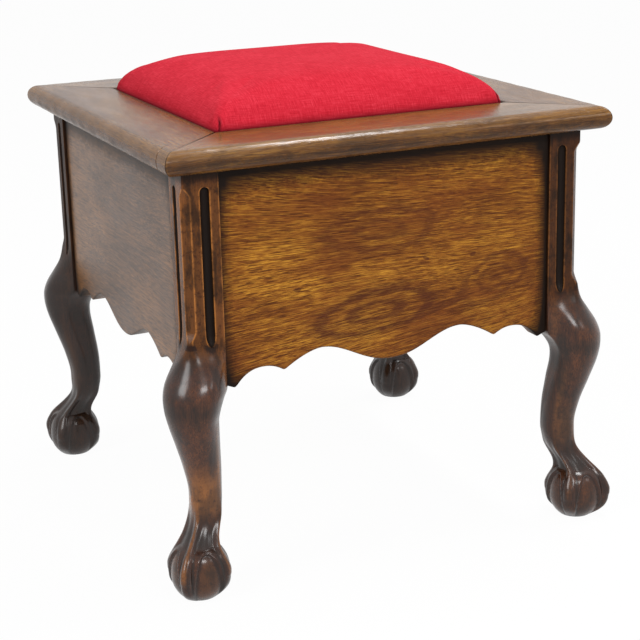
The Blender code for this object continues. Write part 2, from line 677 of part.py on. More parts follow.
def build_splines(rails, parent):
    """Build the loose tongues that hold the lid's mitres together."""
    middle = (OPENING + LID_HALF - LID_THICKNESS / 2) / 2 * sqrt(2)
    height = LID_BOTTOM + LID_THICKNESS / 2
    for corner, (across, along) in CORNERS.items():
        name = f"mitre_spline_{corner}"
        back_front, left_right = corner.split("_")
        place = Matrix.Rotation(atan2(along, across), 4, "Z") @ Matrix.Translation((middle, 0, height))
        half = Vector((SPLINE_LENGTH, SPLINE_WIDTH, SPLINE_THICKNESS)) / 2
        room = half + Vector((FIT, FIT, FIT))
        for side in (back_front, left_right):
            slot = box(-room, room)
            slot.transform(place)
            cut(rails[side], slot)
        spline = box(-half, half)
        spline.transform(place)
        add_piece(name, spline, "inside_wood", parent)


def rounded_square(half, radius):
    """Return a square outline with rounded corners."""
    points = []
    for corner in range(4):
        sign_x = (1, -1, -1, 1)[corner]
        sign_y = (1, 1, -1, -1)[corner]
        for i in range(SEAT_CORNER_POINTS):
            angle = pi / 2 * (corner + (i + 0.5) / SEAT_CORNER_POINTS)
            points.append((sign_x * (half - radius) + radius * cos(angle),
                           sign_y * (half - radius) + radius * sin(angle)))
    return points


def pad_rings(half, bottom, edge, crown):
    """Return rings over a pad: straight sides, drawn in at the edge, and a crown."""
    corner = SEAT_CORNER_RADIUS
    rings = [[(x, y, z) for x, y in rounded_square(half, corner)] for z in (bottom, edge)]
    for i in range(1, SEAT_RINGS + 1):
        share = cos(pi / 2 * i / (SEAT_RINGS + 0.5))
        rise = (1 - share ** SEAT_BULGE) ** (1 / SEAT_RISE)
        size = half * share
        radius = min(corner + (half - size) * SEAT_SOFTENING, ROUNDEST * size)
        rings.append([(x, y, edge + (crown - edge) * rise) for x, y in rounded_square(size, radius)])
    return rings


def build_seat(parent):
    """Build the slip seat: a board, a crowned pad and a cloth cover drawn down round both."""
    board_outline = rounded_square(BOARD_HALF, SEAT_CORNER_RADIUS)
    board = add_piece("seat_board", plate(board_outline, BOARD_BOTTOM, BOARD_TOP), "plywood", parent)
    under_cover = SEAT_TOP - COVER_THICKNESS
    pad = loft(pad_rings(BOARD_HALF, PAD_BOTTOM, PAD_EDGE, under_cover - FIT))
    add_piece("seat_foam", pad, "foam", parent, smooth=50)
    edge = PAD_EDGE + COVER_THICKNESS
    inside = pad_rings(OPENING - FIT - COVER_THICKNESS, BOARD_BOTTOM, edge, under_cover)
    outside = pad_rings(OPENING - FIT, BOARD_BOTTOM, edge, SEAT_TOP)
    cover = loft(list(reversed(inside)) + outside)
    add_piece("seat_cover", cover, "red_cloth", parent, smooth=50)
    return board


def build_seat_screws(rails, board, parent):
    """Build the screws that hold the seat down, up through the ledges."""
    place = OPENING - LEDGE_WIDTH / 2
    for side in SIDES:
        head = turned_place(side, 0, -place, LID_BOTTOM)
        build_screw(f"seat_screw_{side}", SEAT_SCREW, head, (0, 0, 1), (rails[side], board), parent, "steel")


def knuckle_spans(x, own):
    """Return the X spans of one leaf's knuckles on a hinge whose middle is at x."""
    pitch = HINGE_LENGTH / HINGE_KNUCKLES
    start = x - HINGE_LENGTH / 2
    numbers = range(0 if own == "lower" else 1, HINGE_KNUCKLES, 2)
    return [(start + n * pitch + KNUCKLE_GAP / 2, start + (n + 1) * pitch - KNUCKLE_GAP / 2) for n in numbers]


def build_leaf(name, x, own, parent):
    """Build one leaf of a hinge with its knuckles, bored for the pin."""
    low = RIM - LEAF_THICKNESS if own == "lower" else LID_BOTTOM
    high = low + LEAF_THICKNESS
    half = HINGE_LENGTH / 2
    edge = HINGE_Y - KNUCKLE_RADIUS - 2 * FIT
    back = PANEL_OUT - LEAF_WIDTH
    leaf = add_piece(name, box((x - half, back, low), (x + half, edge, high)), "brass", parent, smooth=35)
    for start, end in knuckle_spans(x, own):
        join(leaf, box((start, edge - KNUCKLE_RADIUS / 2, low), (end, HINGE_Y, high)))
        round_bar = [(0.0, KNUCKLE_RADIUS), (end - start, KNUCKLE_RADIUS)]
        join(leaf, turned(round_bar, (start, HINGE_Y, HINGE_Z), (1, 0, 0), ROUND_SIDES))
    bore = [(0.0, PIN_RADIUS + PIN_FIT), (2 * HINGE_LENGTH, PIN_RADIUS + PIN_FIT)]
    cut(leaf, turned(bore, (x - HINGE_LENGTH, HINGE_Y, HINGE_Z), (1, 0, 0), ROUND_SIDES))
    return leaf


def build_hinge(side, x, panel, rail, carcass, lid):
    """Build a butt hinge let into the back panel and the lid's back rail."""
    half = HINGE_LENGTH / 2 + FIT
    back = PANEL_OUT - LEAF_WIDTH - FIT
    depth = LEAF_THICKNESS + FIT
    cut(panel, box((x - half, back, RIM - depth), (x + half, HINGE_Y, RIM + depth)))
    cut(rail, box((x - half, back, LID_BOTTOM - depth), (x + half, HINGE_Y, LID_BOTTOM + depth)))
    pocket_radius = KNUCKLE_RADIUS + POCKET_CLEARANCE
    pocket = [(0.0, pocket_radius), (2 * half, pocket_radius)]
    cut(rail, turned(pocket, (x - half, HINGE_Y, HINGE_Z), (1, 0, 0), ROUND_SIDES))
    lower = build_leaf(f"hinge_{side}_lower_leaf", x, "lower", carcass)
    upper = build_leaf(f"hinge_{side}_upper_leaf", x, "upper", lid)
    pin = [(0.0, PIN_RADIUS), (HINGE_LENGTH, PIN_RADIUS)]
    start = (x - HINGE_LENGTH / 2, HINGE_Y, HINGE_Z)
    add_piece(f"hinge_{side}_pin", turned(pin, start, (1, 0, 0), ROUND_SIDES), "brass", carcass, smooth=35)
    y = PANEL_OUT - LEAF_WIDTH / 2
    for number, sign in enumerate((-1, 1), start=1):
        place = x + sign * (HINGE_LENGTH / 2 - HINGE_SCREW_FROM_END)
        build_screw(f"hinge_{side}_lower_screw_{number}", HINGE_SCREW, (place, y, RIM), (0, 0, -1),
                    (lower, panel), carcass)
        build_screw(f"hinge_{side}_upper_screw_{number}", HINGE_SCREW, (place, y, LID_BOTTOM), (0, 0, 1),
                    (upper, rail), lid)


def main():
    """Build the stool: the carcass, what is inside it and the lid on its hinges."""
    clear_scene()
    carcass = add_empty("carcass", (0, 0, 0))
    lid = add_empty("lid_pivot", (0, HINGE_Y, HINGE_Z))
    bpy.context.view_layer.update()
    for corner in CORNERS:
        build_leg(corner, carcass)
    panels = {side: build_panel(side, carcass) for side in SIDES}
    build_cleats(panels, carcass)
    bottom_board = build_bottom_board(carcass)
    build_shoe_rest(bottom_board, carcass)
    rails = {side: build_rail(side, lid) for side in SIDES}
    build_splines(rails, lid)
    board = build_seat(lid)
    build_seat_screws(rails, board, lid)
    for side, sign in (("left", -1), ("right", 1)):
        build_hinge(side, sign * (POST_IN - HINGE_FROM_POST), panels["back"], rails["back"], carcass, lid)


main()
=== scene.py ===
"""Looks of the shoe shine footstool: carved legs, veneered panels, a polished lid and a padded seat.

Units are metres. X runs along the front, -Y is the front, Z is up, and the origin is on the floor.
"""

import logging
from dataclasses import dataclass, field, replace
from enum import Enum
from functools import reduce
from math import cos, pi, radians, sin, sqrt

import bmesh
import bpy
import numpy as np
from mathutils import Matrix, Vector


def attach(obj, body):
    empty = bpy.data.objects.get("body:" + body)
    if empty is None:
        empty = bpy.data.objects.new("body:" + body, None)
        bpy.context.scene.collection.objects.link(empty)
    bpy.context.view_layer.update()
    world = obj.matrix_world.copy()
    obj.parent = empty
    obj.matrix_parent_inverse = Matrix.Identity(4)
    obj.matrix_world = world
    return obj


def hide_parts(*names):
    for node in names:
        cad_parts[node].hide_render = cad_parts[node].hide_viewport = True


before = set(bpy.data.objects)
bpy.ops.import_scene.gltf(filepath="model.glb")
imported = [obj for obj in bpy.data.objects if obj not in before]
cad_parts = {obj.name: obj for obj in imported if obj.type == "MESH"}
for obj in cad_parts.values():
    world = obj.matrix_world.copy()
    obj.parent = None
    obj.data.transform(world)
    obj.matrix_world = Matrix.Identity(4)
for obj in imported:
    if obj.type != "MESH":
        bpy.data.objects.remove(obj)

MM = 0.001
LOG = logging.getLogger("footstool")
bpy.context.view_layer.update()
Colour = tuple[float, float, float]
Point = tuple[float, float, float]
Pairs = list[tuple[Point, Point]]
Socket = bpy.types.NodeSocket
Piece = bpy.types.Object
HalfRing = tuple[np.ndarray, np.ndarray, np.ndarray]


class Body(Enum):
    """Bodies of the frame that pieces ride on."""

    CARCASS = "carcass"
    LID = "lid"


class Grain(Enum):
    """Direction of the wood's grain, as the turn that brings it to X."""

    ALONG_X = (0.0, 0.0, 0.0)
    ALONG_Y = (0.0, 0.0, -pi / 2)
    ALONG_Z = (0.0, pi / 2, 0.0)


class Side(Enum):
    """Sides of the stool, as quarter turns from the front."""

    FRONT = 0
    RIGHT = 1
    BACK = 2
    LEFT = 3

    @property
    def label(self) -> str:
        """Return the side's name in the frame."""
        return self.name.lower()

    @property
    def grain(self) -> Grain:
        """Return the direction of a grain that runs along the side."""
        return Grain.ALONG_X if self.value % 2 == 0 else Grain.ALONG_Y

    def place(self, points: np.ndarray) -> np.ndarray:
        """Turn points of the front side to this side.

        Args:
            points: places, with X, Y and Z on the last axis.

        Returns:
            The turned places.
        """
        x, y, z = points[..., 0], points[..., 1], points[..., 2]
        for _ in range(self.value):
            x, y = -y, x
        return np.stack([x, y, z], axis=-1)


class Corner(Enum):
    """Corners of the stool, as the signs of X and Y."""

    FRONT_LEFT = (-1, -1)
    FRONT_RIGHT = (1, -1)
    BACK_LEFT = (-1, 1)
    BACK_RIGHT = (1, 1)

    @property
    def label(self) -> str:
        """Return the corner's name in the frame."""
        return self.name.lower()


@dataclass(frozen=True)
class Plan:
    """Main sizes of the stool, which its sub-assemblies share."""

    fit: float = 0.3 * MM
    lid_half: float = 222.5 * MM
    lid_top: float = 415 * MM
    lid_bottom: float = 393 * MM
    rim: float = 392.7 * MM
    opening: float = 148.5 * MM
    post_out: float = 201.3 * MM
    post_in: float = 167.3 * MM
    panel_out: float = 198.3 * MM
    panel_in: float = 180.3 * MM
    board_bottom: float = 401.3 * MM
    board_top: float = 410.3 * MM
    box_floor: float = 246.3 * MM
    tongue_half: float = 4 * MM
    tongue_length: float = 10 * MM
    tongue_bottom: float = 209 * MM

    @property
    def post_middle(self) -> float:
        """Return the distance out to the middle of a post."""
        return (self.post_out + self.post_in) / 2

    @property
    def panel_middle(self) -> float:
        """Return the distance out to the middle of a panel's thickness."""
        return (self.panel_out + self.panel_in) / 2


PLAN = Plan()


def smooth_curve(places: list[float], values: list[float], at: float) -> float:
    """Read a smooth curve through given points, without overshoot between them.

    Args:
        places: where the points are, in rising order.
        values: the curve's values there.
        at: where to read it.

    Returns:
        The value of the curve.
    """
    xs, ys = np.array(places), np.array(values)
    steps = np.diff(xs)
    slopes = np.diff(ys) / steps
    tangents = np.concatenate([slopes[:1], (slopes[1:] + slopes[:-1]) / 2, slopes[-1:]])
    for i in range(1, len(slopes)):
        limit = 3 * min(abs(slopes[i - 1]), abs(slopes[i]))
        same_way = slopes[i - 1] * slopes[i] > 0
        tangents[i] = np.clip(tangents[i], -limit, limit) if same_way else 0.0
    i = int(np.clip(np.searchsorted(xs, at) - 1, 0, len(steps) - 1))
    t = float(np.clip((at - xs[i]) / steps[i], 0.0, 1.0))
    start = ys[i] * (1 + 2 * t) * (1 - t) ** 2 + tangents[i] * steps[i] * t * (1 - t) ** 2
    end = ys[i + 1] * t * t * (3 - 2 * t) + tangents[i + 1] * steps[i] * t * t * (t - 1)
    return float(start + end)


def ramp_up(value: np.ndarray | float, low: float, high: float) -> np.ndarray | float:
    """Return a smooth rise from 0 at low to 1 at high."""
    t = np.clip((value - low) / (high - low), 0.0, 1.0)
    return t * t * (3 - 2 * t)


def ease(t: np.ndarray) -> np.ndarray:
    """Run from 0 to 1 with level ends."""
    return (1 - np.cos(pi * t)) / 2


def spot(value: np.ndarray | float, middle: float, spread: float) -> np.ndarray | float:
    """Return a peak of 1 at a place, which falls off both ways."""
    return np.exp(-((value - middle) / spread) ** 2)


def strongest(*values: np.ndarray | float) -> np.ndarray:
    """Return the largest of several values, point by point."""
    return reduce(np.maximum, values)


def lengths_along(path: np.ndarray) -> np.ndarray:
    """Return the length along a path to each of its points."""
    return np.concatenate([[0.0], np.cumsum(np.linalg.norm(np.diff(path, axis=0), axis=1))])


@dataclass(frozen=True)
class Curve:
    """Smooth curve through points, in millimetres."""

    places: tuple[float, ...]
    values: tuple[float, ...]

    def at(self, z: float) -> float:
        """Return the curve's value at a height, in metres."""
        return smooth_curve([p * MM for p in self.places], [v * MM for v in self.values], z)


@dataclass(frozen=True)
class Stretch:
    """Strength of wear, dirt or painted shade between heights in millimetres, where it starts, is full, fades
    and ends.
    """

    strength: float
    start: float
    full: float
    fade: float = 1000.0
    end: float = 2000.0

    def at(self, z: float) -> float:
        """Return the strength at a height."""
        fall = ramp_up(z, self.fade * MM, self.end * MM)
        return self.strength * ramp_up(z, self.start * MM, self.full * MM) * (1 - fall)


@dataclass(frozen=True)
class Smudge:
    """Strength of wear, dirt, painted shade or painted highlight round a place, with its spread, in
    millimetres.
    """

    strength: float
    middle: float
    spread: float

    def at(self, value: np.ndarray | float) -> np.ndarray | float:
        """Return the strength at a place."""
        return self.strength * spot(value, self.middle * MM, self.spread * MM)


@dataclass(frozen=True)
class Shade:
    """Darkening by dirt, dark joints or painted shade that fades with the distance from an edge, in
    millimetres, after a full start.
    """

    strength: float
    fade: float
    start: float = 0.0
    power: float = 1.0

    def at(self, distance: np.ndarray) -> np.ndarray:
        """Return the grime at a distance."""
        past = np.maximum(distance - self.start * MM, 0.0)
        return self.strength * np.exp(-(past / (self.fade * MM)) ** self.power)


def loft(rings: np.ndarray) -> tuple[np.ndarray, list[list[int]]]:
    """Skin rings of equally many points and close both ends.

    Args:
        rings: points of the rings, shaped (rings, points, 3).

    Returns:
        The points in one list, and the faces.
    """
    count, size = rings.shape[:2]
    index = np.arange(count * size).reshape(count, size)
    after = np.roll(index, -1, axis=1)
    quads = np.stack([index[:-1], after[:-1], after[1:], index[1:]], axis=-1).reshape(-1, 4)
    return rings.reshape(-1, 3), quads.tolist() + [index[0].tolist(), index[-1].tolist()]


def link_new(name: str, data: bpy.types.ID) -> Piece:
    """Make an object and put it into the scene.

    Args:
        name: the object's name.
        data: its mesh, lamp or camera.

    Returns:
        The object.
    """
    made = bpy.data.objects.new(name, data)
    bpy.context.scene.collection.objects.link(made)
    return made


def shade_mesh(mesh: bpy.types.Mesh, angle: float) -> None:
    """Shade faces as one where they meet at less than an angle in degrees."""
    mesh.shade_smooth()
    mesh.set_sharp_from_angle(angle=radians(angle))


def set_field(mesh: bpy.types.Mesh, label: str, values: np.ndarray) -> None:
    """Store a value for each point, which the finish reads."""
    layer = mesh.attributes.new(label, "FLOAT", "POINT")
    layer.data.foreach_set("value", np.asarray(values, np.float32).ravel())


def add_mesh(name: str, points: np.ndarray, faces: list[list[int]],
             fields: dict[str, np.ndarray] | None = None, smooth: float = 40.0) -> Piece:
    """Make an object of a closed mesh, with its faces outwards.

    Args:
        name: the piece's name.
        points: its points, in place.
        faces: its faces.
        fields: values for each point that the finish reads, such as wear.
        smooth: largest angle between faces that are shaded as one, in degrees.

    Returns:
        The object.
    """
    mesh = bpy.data.meshes.new(name)
    mesh.from_pydata(points.tolist(), [], faces)
    shape = bmesh.new()
    shape.from_mesh(mesh)
    bmesh.ops.recalc_face_normals(shape, faces=shape.faces)
    shape.to_mesh(mesh)
    shape.free()
    for label, values in (fields or {}).items():
        set_field(mesh, label, values)
    shade_mesh(mesh, smooth)
    return link_new(name, mesh)


def bake_modifiers(piece: Piece) -> None:
    """Turn a piece and its modifiers into a plain mesh.

    Args:
        piece: what is changed.
    """
    graph = bpy.context.evaluated_depsgraph_get()
    result = bpy.data.meshes.new_from_object(piece.evaluated_get(graph))
    piece.modifiers.clear()
    before = piece.data
    piece.data = result
    bpy.data.meshes.remove(before)
    result.name = piece.name


def combine(piece: Piece, tool: Piece, operation: str = "DIFFERENCE") -> None:
    """Cut a tool out of a piece or join it on, and remove the tool.

    Args:
        piece: what is changed.
        tool: the closed mesh that changes it.
        operation: DIFFERENCE or UNION.
    """
    modifier = piece.modifiers.new("combine", "BOOLEAN")
    modifier.operation = operation
    modifier.solver = "EXACT"
    modifier.object = tool
    bake_modifiers(piece)
    bpy.data.objects.remove(tool)


def box_piece(name: str, low: Point, high: Point, bevel: float = 0.0) -> Piece:
    """Make a box between two corners, with its edges rounded over.

    Args:
        name: the piece's name.
        low: its lowest corner.
        high: its highest corner.
        bevel: radius of its edges.

    Returns:
        The object.
    """
    shape = bmesh.new()
    size = Vector(high) - Vector(low)
    place = Matrix.Translation((Vector(low) + Vector(high)) / 2) @ Matrix.Diagonal((*size, 1.0))
    bmesh.ops.create_cube(shape, size=1.0, matrix=place)
    if bevel:
        bmesh.ops.bevel(shape, geom=shape.edges[:], offset=bevel, segments=3, profile=0.5, affect="EDGES")
    mesh = bpy.data.meshes.new(name)
    shape.to_mesh(mesh)
    shape.free()
    shade_mesh(mesh, 50)
    return link_new(name, mesh)


def turned_piece(name: str, profile: list[tuple[float, float]], start: Point, axis: Point = (1, 0, 0),
                 sides: int = 32) -> Piece:
    """Make a turned solid.

    Args:
        name: the piece's name.
        profile: pairs of a distance along the axis and a radius.
        start: where the axis starts.
        axis: its direction.
        sides: points of each ring.

    Returns:
        The object.
    """
    along = Vector(axis).normalized()
    across = along.orthogonal().normalized()
    other = along.cross(across)
    angles = [2 * pi * i / sides for i in range(sides)]
    rings = []
    for distance, radius in profile:
        centre = Vector(start) + along * distance
        rings.append([centre + (across * cos(a) + other * sin(a)) * radius for a in angles])
    return add_mesh(name, *loft(np.array(rings)))


def dress(piece: Piece, material: bpy.types.Material, body: Body, slot: str, *nodes: str) -> None:
    """Give a piece its finish and its body, and hide the frame's nodes that it replaces.

    Args:
        piece: the finished piece.
        material: its finish.
        body: the body that it moves with.
        slot: not used.
        nodes: the frame's nodes that it replaces.
    """
    piece.data.materials.clear()
    piece.data.materials.append(material)
    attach(piece, body.value)
    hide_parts(*nodes)
    LOG.info("%s: %d faces on %s", piece.name, len(piece.data.polygons), body.value)


def dress_node(name: str, material: bpy.types.Material) -> None:
    """Give a node of the frame a finish, with its shape as it is.

    Args:
        name: the node's name.
        material: its finish.
    """
    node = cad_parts[name]
    node.data.materials.clear()
    node.data.materials.append(material)
    LOG.info("%s: kept from the frame", name)


@dataclass(frozen=True)
class Layer:
    """Layer of noise in a finish: its grain, its stretch along X, and the values between which it shows."""

    scale: float
    detail: float = 2.0
    rough: float = 0.5
    stretch: float = 1.0
    low: float = 0.0
    high: float = 1.0


class Graph:
    """Node tree while it is being wired."""

    def __init__(self, tree: bpy.types.NodeTree) -> None:
        """Take a tree, with its plain shader if it has one."""
        self.tree = tree
        self.shader = tree.nodes.get("Principled BSDF")

    def feed(self, socket: Socket, value: object) -> None:
        """Link a socket to another one, or set its value.

        Args:
            socket: what is fed.
            value: a socket or a plain value.
        """
        if isinstance(value, Socket):
            self.tree.links.new(value, socket)
        else:
            socket.default_value = value

    def node(self, kind: str, inputs: dict, output: int | str = 0, **settings: object) -> Socket:
        """Add a node.

        Args:
            kind: the node's type, which may lack the prefix of a shader node.
            inputs: what goes into its sockets, by name or number.
            output: the socket to hand on.
            settings: the node's own settings.

        Returns:
            The output socket.
        """
        made = self.tree.nodes.new(kind if "Node" in kind else "ShaderNode" + kind)
        for key, value in settings.items():
            setattr(made, key, value)
        for key, value in inputs.items():
            self.feed(made.inputs[key], value)
        return made.outputs[output]

    def math(self, operation: str, a: object, b: object = 0.0) -> Socket:
        """Return the result of a sum on two values."""
        return self.node("Math", {0: a, 1: b}, operation=operation)

    def times(self, a: object, b: object) -> Socket:
        """Return a product."""
        return self.math("MULTIPLY", a, b)

    def minus(self, a: object, b: object) -> Socket:
        """Return a difference."""
        return self.math("SUBTRACT", a, b)

    def weigh(self, value: object, share: object, base: object) -> Socket:
        """Return a base with a share of a value on it."""
        return self.node("Math", {0: value, 1: share, 2: base}, operation="MULTIPLY_ADD")

    def scaled(self, vector: object, factors: Point) -> Socket:
        """Return a vector with each axis multiplied."""
        return self.node("VectorMath", {0: vector, 1: factors}, operation="MULTIPLY")

    def split(self, vector: object) -> bpy.types.bpy_prop_collection:
        """Return the parts of a vector, by the names of their axes."""
        return self.node("SeparateXYZ", {0: vector}).node.outputs

    def noise(self, vector: object, layer: Layer) -> Socket:
        """Return a layer's soft noise, from 0 to 1."""
        inputs = {"Scale": layer.scale, "Detail": layer.detail, "Roughness": layer.rough}
        return self.node("TexNoise", {"Vector": self.scaled(vector, (layer.stretch, 1.0, 1.0)), **inputs})

    def rise(self, value: object, low: float, high: float, start: object = 0.0, end: object = 1.0) -> Socket:
        """Return a smooth rise from start at low to end at high."""
        inputs = {"Value": value, "From Min": low, "From Max": high, "To Min": start, "To Max": end}
        return self.node("MapRange", inputs, interpolation_type="SMOOTHSTEP")

    def shown(self, noise: object, layer: Layer, start: float = 0.0, end: float = 1.0) -> Socket:
        """Return how far a layer's noise shows, from start to end."""
        return self.rise(noise, layer.low, layer.high, start, end)

    def bend(self, vector: object, drift: object, waver: float) -> Socket:
        """Return a vector whose grain wanders with a drift."""
        lean = self.node("CombineXYZ", {"Y": drift, "Z": drift})
        return self.node("VectorMath", {0: lean, 1: (waver,) * 3, 2: vector}, operation="MULTIPLY_ADD")

    def mix(self, share: object, a: object, b: object) -> Socket:
        """Return a mix of two colours."""
        first, second = ((*c, 1.0) if isinstance(c, tuple) else c for c in (a, b))
        return self.node("Mix", {0: share, 6: first, 7: second}, 2, data_type="RGBA")

    def ramp(self, share: object, *stops: tuple[float, Colour]) -> Socket:
        """Run a colour through stops.

        Args:
            share: where to read the colour.
            stops: places from 0 to 1, and colours there.

        Returns:
            The colour.
        """
        colour = self.node("ValToRGB", {0: share})
        elements = colour.node.color_ramp.elements
        while len(elements) < len(stops):
            elements.new(0.5)
        for element, (place, stop) in zip(elements, stops):
            element.position = place
            element.color = (*stop, 1.0)
        return colour

    def field(self, name: str) -> Socket:
        """Return a value that the piece's points carry."""
        return self.node("Attribute", {}, "Fac", attribute_name=name)

    def seen(self) -> Socket:
        """Tell rays that are seen from those of soft light.

        Returns:
            1 for rays from the camera, off a gloss or through glass, and otherwise 0.
        """
        ray = self.node("LightPath", {}).node.outputs
        mirrored = self.math("MAXIMUM", ray["Is Glossy Ray"], ray["Is Transmission Ray"])
        return self.math("MAXIMUM", ray["Is Camera Ray"], mirrored)

    def bump(self, height: object, depth: float, strength: float) -> None:
        """Raise the surface by a height that runs from 0 to 1."""
        normal = self.node("Bump", {"Height": height, "Distance": depth, "Strength": strength}, "Normal")
        self.feed(self.shader.inputs["Normal"], normal)

    def set(self, **values: object) -> None:
        """Set the shader's own sockets, with underscores for spaces."""
        for key, value in values.items():
            self.feed(self.shader.inputs[key.replace("_", " ")], value)


def new_finish(name: str) -> tuple[bpy.types.Material, Graph]:
    """Start a material with a plain shader.

    Args:
        name: the material's name.

    Returns:
        The material, and its node tree.
    """
    material = bpy.data.materials.new(name)
    material.use_nodes = True
    return material, Graph(material.node_tree)


@dataclass(frozen=True)
class FigureSpot:
    """Oval of darker figure in the veneer: its middle, radii, slope, rings and depth of colour."""

    x: float
    z: float
    length: float
    height: float
    slope: float = 0.0
    rings: float = 0.0
    base: float = 1.0
    waver: float = 0.5
    depth: float = 0.8
    edge: float = -0.5


FIGURE_TINT = (0.078, 0.0188, 0.0078)
RUDDY_TINT = (0.188, 0.048, 0.0098)
FIGURE_SPOTS = (
    FigureSpot(-0.018, 0.242, 0.058, 0.0185, 0.09, 11.0, 0.30, 0.50, 0.95, 0.12),
    FigureSpot(-0.012, 0.263, 0.055, 0.0060, 0.12, 0.0, 1.0, 0.9, 0.65),
    FigureSpot(0.045, 0.236, 0.062, 0.0060, 0.24, 0.0, 1.0, 0.9, 0.65),
    FigureSpot(-0.070, 0.232, 0.040, 0.0045, 0.20, 0.0, 1.0, 0.9, 0.50),
    FigureSpot(-0.012, 0.320, 0.052, 0.0190, 0.03, 11.0, 0.20, 0.9, 0.60, 0.15),
    FigureSpot(0.108, 0.258, 0.034, 0.0210, 0.30, 12.0, 0.10, 1.0, 0.58, 0.10),
    FigureSpot(0.089, 0.266, 0.0060, 0.0040, 0.3, 0.0, 1.0, 0.4, 0.85),
    FigureSpot(0.086, 0.284, 0.0050, 0.0035, 0.3, 0.0, 1.0, 0.4, 0.80),
    FigureSpot(-0.095, 0.274, 0.0060, 0.0028, 0.0, 0.0, 1.0, 0.3, 1.0),
    FigureSpot(0.036, 0.2865, 0.0052, 0.0026, -0.3, 0.0, 1.0, 0.3, 1.0),
)
DRIFT = Layer(9.0, 1.0, stretch=0.4)
DASH = Layer(2500.0, 3.0, 0.65, 0.030, 0.38, 0.62)
BAND = Layer(420.0, 3.0, 0.6, 0.035, 0.32, 0.68)
CLOUD = Layer(20.0, 3.0, 0.5, 0.4, 0.30, 0.70)
ZONE = Layer(26.0, 2.0, 0.5, 0.45, 0.44, 0.62)
PORES = Layer(1600.0, 1.0, 0.5, 0.032, 0.54, 0.61)
BLOTCH = Layer(45.0, 5.0, 0.65, 0.45, 0.45, 0.63)
SPECKLE = Layer(240.0, 3.0, 0.7, 1.0, 0.28, 0.50)
WANDER = Layer(52.0, 4.0, 0.6)


